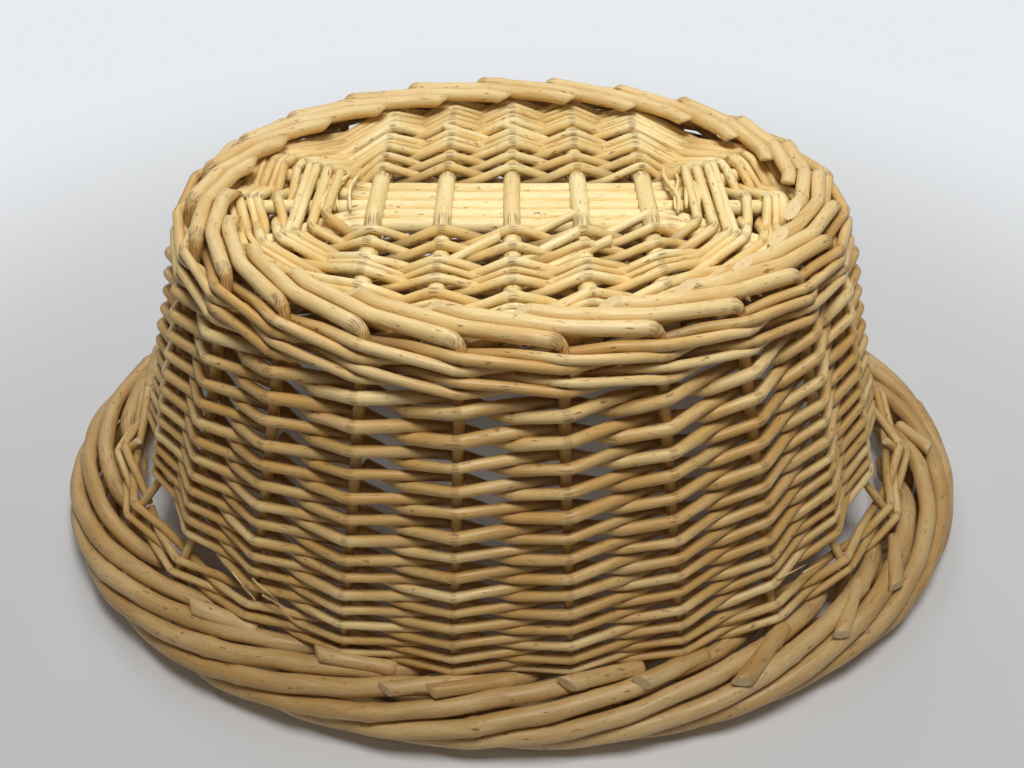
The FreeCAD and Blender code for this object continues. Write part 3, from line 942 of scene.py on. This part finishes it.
@dataclass
class WovenBase:
    """Base of long sticks through split cross sticks, woven with pairing.

    Attributes:
        edge: Half length and half width of the sticks' ends.
        weave_edge: The same for the outermost round.
        bundled: Rounds that take all long sticks of an end as one bundle.
        thin_place: Distance of the thin strands from their round, in rounds.
        thin_start: Posts from the ends of a round's strands to those of the thin strands.
        doubled: Rounds that have a pair of thin strands laid beside them.
    """

    form: BasketForm
    edge: Array = pair(132.7, 93.5)
    weave_edge: Array = pair(129.6, 90.4)
    long_count: int = 5
    long_radius: float = 3.4
    long_tone: float = 0.1
    long_tone_step: float = 0.06
    long_bends: Bends = (9.0, 7, 30)
    long_growth: Growth = Growth(0.15, 0.03, 0.002)
    cross_count: int = 5
    cross_radius: float = 3.9
    cross_spacing: float = 30.0
    cross_tone: float = 0.25
    cross_bends: Bends = (7.0, 7, 12)
    cross_growth: Growth = Growth(0.12, 0.035, 0.002)
    pitch: float = 6.95
    fan_x: float = 71.0
    fan_angle: float = math.radians(30.0)
    weave_start: Array = pair(79.0, 24.7)
    split_end: float = 22.95
    split_open: float = 17.45
    split_bow: float = 3.55
    rounds: int = 7
    bundled: int = 3
    strand_radius: float = 1.55
    laying: Laying = Laying(0.3, 2.4, 1.42, 0.3)
    thin_laying: Laying = Laying(0.4, 2.4, 0.95, 0.3)
    thin_place: float = 0.5
    thin_start: int = 3
    doubled: tuple[int, ...] = (2, 4, 5)
    # Tone added on the base strands' inner sides: painted shade.
    inner_shade: float = 1.7
    clearance: float = 0.15
    seed: int = 11

    def long_end(self, index: int, end: int) -> tuple[Array, Array]:
        """Bend and heading of a long stick at one end of the base.

        Args:
            index: Number of the stick.
            end: 1 for the end at +X and -1 for the other.

        Returns:
            The point of the bend, and the heading from it.
        """
        place = index - (self.long_count - 1) / 2
        angle = self.fan_angle * np.sign(place)
        early = max(abs(place) - 1, 0) * self.pitch * math.tan(abs(angle) / 2)
        bend = np.array([end * (self.fan_x - early), place * self.pitch, self.form.base_z])
        return bend, np.array([end * math.cos(angle), math.sin(angle), 0.0])

    def long_stick(self, index: int) -> Array:
        """Path of a long stick, fanned out at both ends.

        Args:
            index: Number of the stick.

        Returns:
            Its tip, bend, bend and tip.
        """
        points = []
        for end in (-1, 1):
            bend, head = self.long_end(index, end)
            tip = bend + head * run_to_oval(bend, head, self.edge)
            points += [tip, bend] if end < 0 else [bend, tip]
        return np.array(points)

    def cross_x(self) -> Array:
        """Places of the cross sticks along the base."""
        return (np.arange(self.cross_count) - (self.cross_count - 1) / 2) * self.cross_spacing

    def cross_half(self, x: float, side: int) -> Array:
        """Path of the upper or lower half of a cross stick, which bows round the long sticks.

        Args:
            x: Place of the stick along the base.
            side: 1 for the upper half and -1 for the lower one.

        Returns:
            Its points.
        """
        end = self.edge[1] * math.sqrt(1 - (x / self.edge[0]) ** 2)
        y = np.array([-end, -self.split_end, -self.split_open, self.split_open, self.split_end, end])
        bow = np.array([0, 0, 1, 1, 0, 0]) * self.split_bow * side
        return np.stack([np.full_like(y, x), y, self.form.base_z + bow], axis=-1)

    def ring(self, index: float) -> tuple[Weave, Array]:
        """Posts of one round, or of a pair of strands laid beside it.

        Args:
            index: Number of the round, or a place between two rounds.

        Returns:
            The weave round the posts, and the side on which its first strand passes each.
        """
        share = index / (self.rounds - 1)
        middle = self.long_count // 2
        groups = [[0, self.long_count - 1]]
        if index >= self.bundled:
            groups = [list(range(middle)), [middle], list(range(middle + 1, self.long_count))]
        cross_reach = self.cross_radius + self.strand_radius + self.clearance
        long_reach = self.long_radius + self.strand_radius + self.clearance
        xs = self.cross_x()
        edges = self.weave_edge[1] * np.sqrt(1 - (xs / self.weave_edge[0]) ** 2)
        ys = self.weave_start[1] + (edges - self.weave_start[1]) * share
        ring, front = [], 1
        for side in (-1, 1):
            for k in range(self.cross_count)[::-side]:
                ring.append(([xs[k], side * ys[k], self.form.base_z], [0.0, -side, 0.0], cross_reach, front))
                front = -front
            for group in groups[::-side]:
                for stick in group[::-side]:
                    bend, head = self.long_end(stick, -side)
                    first = (self.weave_start[0] - abs(bend[0])) / abs(head[0])
                    last = run_to_oval(bend, head, self.weave_edge)
                    ring.append((bend + head * (first + (last - first) * share), -head, long_reach, front))
                front = -front
        posts, ups, reaches, fronts = (np.array(column) for column in zip(*ring))
        return Weave(posts, ups, reaches, self.strand_radius, inner_shade=self.inner_shade), fronts

    def build(self, shop: Workshop) -> None:
        """Make the sticks and the rounds.

        Args:
            shop: Maker of the pieces.
        """
        rng = np.random.default_rng(self.seed)
        for i in range(self.long_count):
            rod = Rod(self.long_stick(i), self.long_radius, UP, self.long_tone + self.long_tone_step * i)
            rod = rod.rounded(*self.long_bends).grown(rng, self.long_growth)
            name = f"base_long_stick_{i + 1}"
            shop.piece(name + "_rod", [rod], Kind.LONG_STICK, i, name)
        for i, x in enumerate(self.cross_x()):
            halves = []
            for side in (1, -1):
                rod = Rod(self.cross_half(float(x), side), self.cross_radius, UP * side, self.cross_tone, split=True)
                halves.append(rod.rounded(*self.cross_bends).grown(rng, self.cross_growth))
            name = f"base_cross_stick_{i + 1}"
            shop.piece(name + "_rod", halves, Kind.CROSS_STICK, i, name)
        for i in range(self.rounds):
            weave, fronts = self.ring(i)
            rods = weave.pairing(fronts, i, self.laying, rng)
            if i in self.doubled:
                weave, fronts = self.ring(i + self.thin_place)
                rods += weave.pairing(fronts, i + self.thin_start, self.thin_laying, rng)
            name = f"base_round_{i + 1}"
            shop.piece(name + "_strands", rods, Kind.BASE_ROUND, i, name)


@dataclass
class WovenWall:
    """Upsett wales, wall rounds and the two rounds that lace along the border.

    Attributes:
        lean: Share of a crossing's rise by which both strands drop there.
        end_step: Stakes from the ends of one round to those of the next.
    """

    form: BasketForm
    wale_rounds: int = 2
    wale_radius: float = 1.95
    wale_rise: float = 2.41
    wale_height: float = 8.87
    wall_rounds: int = 12
    border_rounds: int = 2
    butt_radius: float = 2.4
    tip_radius: float = 1.75
    clearance: float = 0.15
    lean: float = 0.6
    wale_laying: Laying = Laying(0.5, 3.0, 1.1, 0.25)
    laying: Laying = Laying(0.5, 1.8, 1.12, 0.45)
    end_step: int = 5
    seed: int = 23

    def radius(self, index: int) -> float:
        """Radius of the strands of a round, counted from the base."""
        return self.butt_radius + (self.tip_radius - self.butt_radius) * index / (
            self.wall_rounds + self.border_rounds - 1)

    def height(self, index: int) -> float:
        """Height that a round takes up where its strands cross."""
        radius = self.radius(index)
        return 2 * (crossing_rise(radius, radius + self.form.stake_tip_radius) + radius) + self.clearance

    def wale(self, index: int, rng: Rng) -> list[Rod]:
        """Three strands, each in front of two stakes and behind the third.

        Args:
            index: Number of the wale.
            rng: Source of chance.

        Returns:
            Its rods.
        """
        form = self.form
        z = form.wale_top - (index + 0.5) * self.wale_height
        posts = form.wall(form.angles, np.full(form.stakes, z))
        ups = unit(form.wall(form.angles, form.base_z) - form.wall(form.angles, 0.0))
        reach = form.stake_radius(z) + self.wale_radius + self.clearance
        weave = Weave(posts, ups, np.full(form.stakes, reach), self.wale_radius)
        faces, lifts = np.array([1, 1, -1]), np.array([1, -1, 0]) * self.wale_rise
        paths = []
        for turn in range(len(faces)):
            phase = (np.arange(form.stakes) - turn) % len(faces)
            start = int(np.argmax(faces[phase] < 0))
            jitter = rng.normal(0, self.wale_laying.jitter, form.stakes)
            paths.append(weave.strand(faces[phase], lifts[phase] + jitter, -self.wale_rise, start))
        return weave.rods(paths, self.wale_laying, rng)

    def side_round(self, posts: Array, ups: Array, index: int, rng: Rng) -> list[Rod]:
        """Two strands of pairing round the stakes.

        Args:
            posts: Points on the stakes.
            ups: Directions along the stakes.
            index: Number of the round, counted from the base.
            rng: Source of chance.

        Returns:
            Its rods.
        """
        radius = self.radius(index)
        reaches = self.form.stake_radius(posts[:, 2]) + radius + self.clearance
        weave = Weave(posts, ups, reaches, radius, self.lean)
        fronts = np.where(np.arange(self.form.stakes) % 2, 1, -1)
        return weave.pairing(fronts, index * self.end_step, self.laying, rng)

    def wall_round(self, index: int, rng: Rng) -> list[Rod]:
        """Round on the wall, drawn up towards the handles.

        Args:
            index: Number of the round.
            rng: Source of chance.

        Returns:
            Its rods.
        """
        heights = np.array([self.height(i) for i in range(self.wall_rounds)])
        share = (heights[:index].sum() + heights[index] / 2) / heights.sum()
        tops = self.form.wall(self.form.angles, np.full(self.form.stakes, self.form.wale_bottom))
        turns = self.form.turn(self.form.angles)
        return self.side_round(tops + (turns - tops) * share, unit(tops - turns), index, rng)

    def border_round(self, index: int, rng: Rng) -> list[Rod]:
        """Round next to the border, which leaves the wall at the handles.

        Args:
            index: Number of the round.
            rng: Source of chance.

        Returns:
            Its rods.
        """
        heights = np.array([self.height(self.wall_rounds + i) for i in range(self.border_rounds)])
        height = heights[index + 1:].sum() + heights[index] / 2
        tips = self.form.tip(self.form.angles, self.form.tip_high)
        ups = unit(self.form.turn(self.form.angles) - tips)
        return self.side_round(tips + ups * height, ups, self.wall_rounds + index, rng)

    def build(self, shop: Workshop) -> None:
        """Make all rounds of the wall.

        Args:
            shop: Maker of the pieces.
        """
        rng = np.random.default_rng(self.seed)
        for label, count, kind, make in (
                ("upsett_wale_{}", self.wale_rounds, Kind.WALE, self.wale),
                ("wall_round_{:02d}", self.wall_rounds, Kind.WALL_ROUND, self.wall_round),
                ("border_round_{}", self.border_rounds, Kind.BORDER_ROUND, self.border_round)):
            for i in range(count):
                name = label.format(i + 1)
                shop.piece(name + "_strands", make(i, rng), kind, i, name)


@dataclass
class Stakes:
    """Stakes with their butts laid as the foot border and their tips in the rim.

    Attributes:
        foot_step: Distance by which a foot rod drifts in for each stake that it passes.
        foot_span: Length of a foot rod, in stake spacings.
        cut_slope: Slope of the butts' cuts, which face up along the front and down along the back.
    """

    form: BasketForm
    foot_half: Array = pair(139.2, 100.35)
    butt_radius: float = 3.1
    foot_step: float = 7.02
    foot_span: float = 2.4
    foot_bend: float = 3.0
    foot_tone: float = 0.1
    # The wall part's tone, darker than the foot's, paints the shade that the stakes' wall part lies in.
    wall_shade_tone: float = 0.8
    tone_spread: float = 0.12
    cut_slope: float = 1.3
    tip_slope: float = 0.2
    bends: Bends = (3.0, 6, 10)
    growth: Growth = Growth(0.12, 0.03)
    stub: float = 3.0
    stub_tone: float = 0.6
    stub_bend: float = 3.0
    stub_growth: Growth = Growth(0.05, 0.03)
    border_height: float = 15.9
    seed: int = 37

    def foot(self, angle: float, spacings: Array) -> Array:
        """Points of a foot rod, which runs straight between places a whole number of spacings on and drifts in.

        Args:
            angle: Angle of the stake.
            spacings: Distances from the stake, in stake spacings.

        Returns:
            The points.
        """
        whole = np.arange(math.ceil(self.foot_span) + 1)
        here = angle - whole * self.form.step
        corners = (self.form.oval(self.foot_half, here, self.form.foot_z)
                   - self.form.normal(self.foot_half, here) * (whole * self.foot_step)[:, None])
        return np.stack([np.interp(spacings, whole, column) for column in corners.T], axis=-1)

    def is_cut(self, angle: float) -> bool:
        """Whether the stake is cut out of a handle."""
        return abs(math.cos(angle)) > math.cos(self.form.step)

    def stake(self, angle: float, rng: Rng) -> Rod:
        """One stake: foot rod, sharp bend, wall run and tip.

        Args:
            angle: Angle of the stake.
            rng: Source of chance.

        Returns:
            The stake.
        """
        form = self.form
        corner = self.foot(angle, np.array([0.0, 1.0]))
        bend = self.foot_bend / np.linalg.norm(corner[1] - corner[0])
        foot = self.foot(angle, np.array([self.foot_span, 2.0, 1.0, bend]))
        at = np.array([angle])
        wall = [form.wall(at, np.array([form.foot_z - self.foot_bend])), form.turn(at)]
        if not self.is_cut(angle):
            wall += [form.tip(at, form.tip_high), form.tip(at, form.tip_low)]
        path = np.vstack([foot, *wall])
        on_foot = np.arange(len(path)) < len(foot)
        radii = np.where(on_foot, self.butt_radius, form.stake_radius(path[:, 2]))
        guides = np.where(on_foot[:, None], UP, form.normal(self.foot_half, at))
        # Painted shade: the wall part gets a darker tone than the lit foot.
        tone = chance_tone(rng, np.where(on_foot, self.foot_tone, self.wall_shade_tone), self.tone_spread)
        slope = -math.copysign(self.cut_slope, path[0, 1])
        rod = Rod(path, radii, guides, tone, (slope, self.tip_slope))
        return rod.rounded(*self.bends).grown(rng, self.growth)

    def handle_tip(self, angle: float, rng: Rng) -> Rod:
        """Tip of a stake that was cut out of a handle.

        Args:
            angle: Angle of the stake.
            rng: Source of chance.

        Returns:
            The tip.
        """
        form = self.form
        at = np.array([angle])
        tip = form.tip(at, form.tip_high)
        up = unit(form.turn(at) - tip)
        path = np.vstack([form.tip(at, form.tip_low), tip, tip + up * (self.border_height + self.stub)])
        rod = Rod(path, form.stake_tip_radius, form.normal(form.rope_half, at), self.stub_tone)
        return rod.rounded(self.stub_bend).grown(rng, self.stub_growth)

    def build(self, shop: Workshop) -> None:
        """Make the stakes and the cut tips.

        Args:
            shop: Maker of the pieces.
        """
        rng = np.random.default_rng(self.seed)
        for i, angle in enumerate(self.form.angles):
            name = f"side_stake_{i + 1:02d}"
            shop.piece(name + "_rod", [self.stake(float(angle), rng)], Kind.STAKE, i, name)
        tips = [self.handle_tip(float(a), rng) for a in self.form.angles if self.is_cut(float(a))]
        shop.piece("handle_stake_tips_rods", tips, Kind.HANDLE_TIPS, 0, "handle_stake_tips")


@dataclass
class RimBorder:
    """Border of thick rods laid as a rope, one from behind each stake.

    Attributes:
        spacings: Length of a rod, in stake spacings.
        first_angle: Place about the rope's centre at the first stake, from which a rod winds by the sweep.
        butt_span: Half length of the butt behind the stake, in stake spacings.
        elbow: Distance of the bend after the butt, in stake spacings.
    """

    form: BasketForm
    rope_z: float = 16.9
    rope_radius: float = 13.36
    butt_radius: float = 4.5
    tip_radius: float = 4.1
    spacings: float = 7.0
    first_angle: float = math.radians(112.0)
    sweep: float = math.radians(258.0)
    butt_out: float = -19.0
    butt_rise: float = 3.0
    butt_span: float = 0.11
    elbow: float = 0.55
    wound_points: int = 25
    tone: float = 0.45
    tone_spread: float = 0.25
    thickness: Range = (0.88, 1.04)
    bends: Bends = (40.0, 5, 2)
    growth: Growth = Growth(0.5, 0.04, 0.006)
    seed: int = 51

    def around(self, here: Array, out: Array, rise: Array) -> Array:
        """Points about the rope's centre line.

        Args:
            here: Angles on the rope's oval.
            out: Distances outwards.
            rise: Distances up.

        Returns:
            The points.
        """
        form = self.form
        centre = form.oval(form.rope_half, here, self.rope_z + rise)
        return centre + form.normal(form.rope_half, here) * out[:, None]

    def rod(self, angle: float, rng: Rng) -> Rod:
        """One border rod, from behind its stake once about the rope.

        At s stake spacings its place about the rope's centre is R (cos f, sin f), with f falling evenly by the
        sweep from the first stake to the end.

        Args:
            angle: Angle of the stake.
            rng: Source of chance.

        Returns:
            The rod.
        """
        form = self.form
        wound = np.linspace(1.0, self.spacings, self.wound_points)
        s = np.concatenate([[-self.butt_span, self.butt_span, self.elbow], wound])
        turn = self.first_angle - (s - 1) * self.sweep / (self.spacings - 1)
        out, rise = self.rope_radius * np.cos(turn), self.rope_radius * np.sin(turn)
        out[:2], rise[:2] = self.butt_out, self.butt_rise
        path = self.around(form.rope_angle(angle - s * form.step), out, rise)
        radii = self.butt_radius + (self.tip_radius - self.butt_radius) * s / self.spacings
        tone = chance_tone(rng, self.tone, self.tone_spread)
        rod = Rod(path, radii * rng.uniform(*self.thickness), UP, tone)
        return rod.rounded(*self.bends).grown(rng, self.growth)

    def build(self, shop: Workshop) -> None:
        """Make the border.

        Args:
            shop: Maker of the pieces.
        """
        rng = np.random.default_rng(self.seed)
        rods = [self.rod(float(angle), rng) for angle in self.form.angles]
        shop.piece("rim_border_rods_rope", rods, Kind.ROPE, 0, "rim_border_rods")


@dataclass
class LooseEnds:
    """Ends that show: border tails on the rim, weaver butts and frayed strips on the base, splinters on the wall.

    Attributes:
        tails: Degrees along the border's oval and about the rope, and radius, of each border tail's cut end.
        butts: Places of each weaver butt's start and cut end on the base.
        strips: Middle of the two frayed places, from the middle of the base.
        splinters: Degrees along the wall and heights of the splinters' roots.
        tail_back: Degrees about the rope towards which a tail leans by the share tail_tuck.
        butt_run: Share of the way from start to end, and height above the base, of a butt's points.
    """

    form: BasketForm
    border: RimBorder
    tails: tuple[tuple[float, float, float], ...] = (
        (-131.0, 98.0, 4.0), (-112.5, 104.0, 3.4), (-103.5, 78.0, 3.3), (-98.5, 84.0, 3.2), (-84.0, 96.0, 3.6),
        (-76.0, 86.0, 3.8), (-65.0, 58.0, 3.9), (-51.0, 62.0, 3.4), (-39.5, 68.0, 3.6), (-8.0, 92.0, 3.3),
        (28.0, 84.0, 3.6), (61.0, 76.0, 3.4), (97.0, 88.0, 3.7), (122.0, 72.0, 3.3), (158.0, 80.0, 3.6))
    butts: tuple[tuple[float, float, float, float], ...] = (
        (4.5, -21.5, 28.5, -12.5), (35.5, -22.0, 59.5, -13.0), (19.0, 61.8, -4.3, 63.2), (-29.5, -39.7, -5.5, -30.7),
        (3.7, -36.5, 27.7, -27.5), (17.0, -40.0, 41.0, -33.0), (5.9, -76.0, 29.9, -67.0), (-10.6, 62.4, -34.0, 61.8))
    strips: tuple[float, float] = (77.0, 4.0)
    splinters: tuple[tuple[float, float], ...] = (
        (-131.0, 56.0), (-129.0, 51.0), (-127.0, 60.0), (-125.0, 53.0), (-123.0, 49.0), (-118.0, 55.0), (-52.0, 58.0),
        (-47.0, 52.0))
    tail_root: float = 15.0
    tail_seat: float = 20.5
    tail_run: float = 9.0
    tail_back: float = 132.0
    tail_tuck: float = 0.8
    tail_points: int = 12
    tail_tone: float = 0.3
    tail_spread: float = 0.2
    tail_slope: Range = (-0.95, -0.6)
    tail_growth: Growth = Growth(0.4, 0.03)
    butt_run: tuple[Range, ...] = ((-0.3, -4.6), (0.35, 0.9), (1.0, 6.3))
    butt_radius: Range = (1.9, 2.2)
    butt_tone: float = 0.2
    butt_slope: Range = (0.1, 0.6)
    butt_bends: Bends = (6.0, 6, 4)
    butt_growth: Growth = Growth(0.1, 0.03)
    strip_count: int = 6
    strip_length: Range = (20.0, 36.0)
    strip_swing: Range = (1.0, 2.6)
    strip_turns: Range = (0.5, 0.9)
    strip_x: Range = (-7.0, 5.0)
    strip_y: Range = (-4.0, 4.0)
    strip_rise: float = 4.6
    strip_arch: float = 2.2
    strip_lift: Range = (0.0, 1.4)
    strip_radius: Range = (0.7, 1.25)
    strip_taper: tuple[float, ...] = (0.6, 0.9, 1.0, 1.0, 1.0, 1.0, 1.0, 0.8, 0.4)
    strip_tone: Range = (0.0, 0.6)
    strip_slants: Range = (0.5, -0.7)
    strip_bends: Bends = (4.0, 4, 2)
    splinter_span: Range = (3.0, 6.0)
    splinter_root: float = 5.0
    splinter_lean: Range = (0.5, 3.0)
    splinter_shift: Range = (-1.0, 1.0)
    splinter_drop: Range = (-1.0, 6.0)
    splinter_radius: Range = (0.45, 0.8)
    splinter_taper: tuple[float, ...] = (1.0, 0.9, 0.7, 0.45, 0.15)
    splinter_tone: Range = (0.2, 0.8)
    splinter_bends: Bends = (5.0, 4, 2)
    seed: int = 73

    def tail(self, place: float, turn: float, radius: float, rng: Rng) -> Rod:
        """One border tail, from inside the wall out over the rope to its cut end.

        Args:
            place: Degrees along the border's oval at its cut end.
            turn: Degrees about the rope there.
            radius: Its radius.
            rng: Source of chance.

        Returns:
            The tail.
        """
        here = np.radians(place + np.array([self.tail_run, 0.0]))
        about = np.radians(np.array([turn + self.tail_tuck * (self.tail_back - turn), turn]))
        seat = np.array([self.tail_root, self.tail_seat])
        ends = self.border.around(here, seat * np.cos(about), seat * np.sin(about))
        path = np.linspace(ends[0], ends[1], self.tail_points)
        tone = chance_tone(rng, self.tail_tone, self.tail_spread)
        guide = self.form.normal(self.form.rope_half, here[1:])
        return Rod(path, radius, guide, tone, (0.0, rng.uniform(*self.tail_slope))).grown(rng, self.tail_growth)

    def butt(self, ends: tuple[float, float, float, float], rng: Rng) -> Rod:
        """One weaver butt that rises out of the base's weave.

        Args:
            ends: Places of its start and its cut end on the base.
            rng: Source of chance.

        Returns:
            The butt.
        """
        start, end = np.array(ends[:2]), np.array(ends[2:])
        share, rise = np.array(self.butt_run).T[..., None]
        path = np.hstack([start + (end - start) * share, self.form.base_z + rise])
        rod = Rod(path, rng.uniform(*self.butt_radius), UP, self.butt_tone, (0.0, rng.uniform(*self.butt_slope)))
        return rod.rounded(*self.butt_bends).grown(rng, self.butt_growth)

    def strip(self, side: int, rng: Rng) -> Rod:
        """One twisted strip across the long sticks: x swings by a sine along the strip.

        Args:
            side: 1 for the frayed place at +X and -1 for the other.
            rng: Source of chance.

        Returns:
            The strip.
        """
        s = np.linspace(0, 1, len(self.strip_taper))
        length = rng.uniform(*self.strip_length)
        swing = rng.uniform(*self.strip_swing) * np.sin(
            2 * math.pi * (s * rng.uniform(*self.strip_turns) + rng.uniform()))
        x = side * (self.strips[0] + rng.uniform(*self.strip_x) + swing)
        y = self.strips[1] + rng.uniform(*self.strip_y) + (s - 0.5) * length
        arch = self.strip_arch * np.sin(math.pi * s)
        z = self.form.base_z + self.strip_rise + arch + rng.uniform(*self.strip_lift)
        radii = rng.uniform(*self.strip_radius) * np.array(self.strip_taper)
        rod = Rod(np.stack([x, y, z], axis=-1), radii, UP, rng.uniform(*self.strip_tone), self.strip_slants)
        return rod.rounded(*self.strip_bends)

    def splinter(self, place: float, z: float, rng: Rng) -> Rod:
        """One splinter that stands off the wall, thinning to its end.

        Args:
            place: Degrees along the wall at its root.
            z: Height of its root.
            rng: Source of chance.

        Returns:
            The splinter.
        """
        s = np.linspace(0, 1, len(self.splinter_taper))
        here = np.radians(place + s * rng.uniform(*self.splinter_span))
        out = self.splinter_root + s * rng.uniform(*self.splinter_lean) + rng.uniform(*self.splinter_shift)
        path = self.form.wall(here, z - s * rng.uniform(*self.splinter_drop))
        path = path + self.form.normal(self.form.floor_half, here) * out[:, None]
        radii = rng.uniform(*self.splinter_radius) * np.array(self.splinter_taper)
        return Rod(path, radii, UP, rng.uniform(*self.splinter_tone)).rounded(*self.splinter_bends)

    def build(self, shop: Workshop) -> None:
        """Make all loose ends.

        Args:
            shop: Maker of the pieces.
        """
        rng = np.random.default_rng(self.seed)
        tails = [self.tail(*tail, rng) for tail in self.tails]
        butts = [self.butt(ends, rng) for ends in self.butts]
        strips = [self.strip(side, rng) for side in (-1, 1) for _ in range(self.strip_count)]
        splinters = [self.splinter(*root, rng) for root in self.splinters]
        for name, rods, kind in (
                ("border_tails", tails, Kind.TAILS), ("weaver_butts", butts, Kind.BUTTS),
                ("frayed_strips", strips, Kind.STRIPS), ("wall_splinters", splinters, Kind.SPLINTERS)):
            shop.piece(name, rods, kind, 0)


@dataclass(frozen=True)
class Lamp:
    """Square soft lamp at a place, tilted about X, with a side of this size."""

    name: str
    place: Place
    tilt: float
    size: float
    power: float


@dataclass
class Studio:
    """Pale ground, soft light and the camera at the photograph's place, in metres."""

    camera_place: Place = (0.0, -0.306, 0.3836)
    camera_tilt: float = math.radians(44.0)
    camera_near: float = 0.01
    focal_pixels: float = 800.0
    image_width: float = 1024.0
    sensor: float = 36.0
    lamps: tuple[Lamp, ...] = (
        Lamp("main_lamp", (0.05, -0.15, 0.72), math.radians(15), 0.18, 2.6),
        Lamp("back_lamp", (-0.1, 0.40, 0.80), math.radians(-30), 0.4, 1.5))
    world_light: float = 0.06
    floor_half: float = 4.0
    floor_columns: int = 9
    bend_start: float = 1.2
    bend_radius: float = 0.8
    bend_points: int = 13
    backdrop_height: float = 4.0

    def camera(self) -> None:
        """Make the camera."""
        data = bpy.data.cameras.new("camera")
        data.sensor_width = self.sensor
        data.lens = self.focal_pixels / self.image_width * self.sensor
        data.clip_start = self.camera_near
        made = put("camera", data)
        made.location = self.camera_place
        made.rotation_euler = (self.camera_tilt, 0.0, 0.0)
        bpy.context.scene.camera = made

    def light(self, lamp: Lamp) -> None:
        """Make a lamp.

        Args:
            lamp: Its place and sizes.
        """
        data = bpy.data.lights.new(lamp.name, "AREA")
        data.size = lamp.size
        data.energy = lamp.power
        made = put(lamp.name, data)
        made.location = lamp.place
        made.rotation_euler = (lamp.tilt, 0.0, 0.0)
        made.visible_camera = False

    def ground(self) -> None:
        """Make the floor, which rises into a backdrop: z = r (1 - cos t) past the bend's start."""
        x = np.linspace(-self.floor_half, self.floor_half, self.floor_columns)
        t = np.linspace(0, math.pi / 2, self.bend_points)
        bend = self.bend_start + self.bend_radius * np.sin(t)
        y = np.concatenate([[-self.floor_half], bend, bend[-1:]])
        z = np.concatenate([[0.0], self.bend_radius * (1 - np.cos(t)), [self.backdrop_height]])
        grid = np.stack(np.broadcast_arrays(x[None], y[:, None], z[:, None]), axis=-1)
        index = np.arange(grid.shape[0] * grid.shape[1]).reshape(grid.shape[:2])
        faces = np.stack([index[:-1, :-1], index[:-1, 1:], index[1:, 1:], index[1:, :-1]], axis=-1).reshape(-1, 4)
        mesh = bpy.data.meshes.new("ground")
        mesh.from_pydata(grid.reshape(-1, 3).tolist(), [], faces.tolist())
        mesh.polygons.foreach_set("use_smooth", np.ones(len(faces), bool))
        mesh.materials.append(PaleGround().material())
        made = put("ground", mesh)

    def world(self) -> None:
        """Weak white light from all round, which the camera sees as the pale backdrop."""
        graph = Graph(bpy.data.worlds.new("studio"))
        light = graph.node("ShaderNodeBackground", {}, {"Color": (1.0, 1.0, 1.0, 1.0), "Strength": self.world_light})
        shown = graph.node("ShaderNodeBackground", {}, {"Color": PaleGround().far_colour, "Strength": 1.0})
        shader = graph.node("ShaderNodeMixShader", {}, {0: graph.seen(), 1: light, 2: shown})
        bpy.context.scene.world = graph.finish(shader, "ShaderNodeOutputWorld")

    def build(self) -> None:
        """Make the whole studio."""
        bpy.context.scene.view_settings.view_transform = "Standard"
        self.camera()
        self.ground()
        self.world()
        for lamp in self.lamps:
            self.light(lamp)


FINISHES = {
    Slot.BASE: WillowFinish("willow_base", (0.98, 0.84, 0.46, 1.0), (0.85, 0.61, 0.24, 1.0)),
    Slot.WEAVER: WillowFinish("willow_weaver", (0.93, 0.72, 0.35, 1.0), (0.64, 0.39, 0.12, 1.0)),
    Slot.STAKE: WillowFinish("willow_stake", (0.88, 0.68, 0.33, 1.0), (0.70, 0.44, 0.14, 1.0)),
    Slot.BORDER: WillowFinish("willow_border", (0.78, 0.56, 0.26, 1.0), (0.58, 0.35, 0.12, 1.0)),
}


def main() -> None:
    """Build the basket and its studio."""
    logging.basicConfig(level=logging.INFO, format="%(message)s")
    form = BasketForm()
    shop = Workshop(FINISHES)
    WovenBase(form).build(shop)
    WovenWall(form).build(shop)
    Stakes(form).build(shop)
    border = RimBorder(form)
    border.build(shop)
    LooseEnds(form, border).build(shop)
    Studio().build()
    log.info("triangles in all: %d", shop.triangles)


if __name__ == "__main__":
    main()
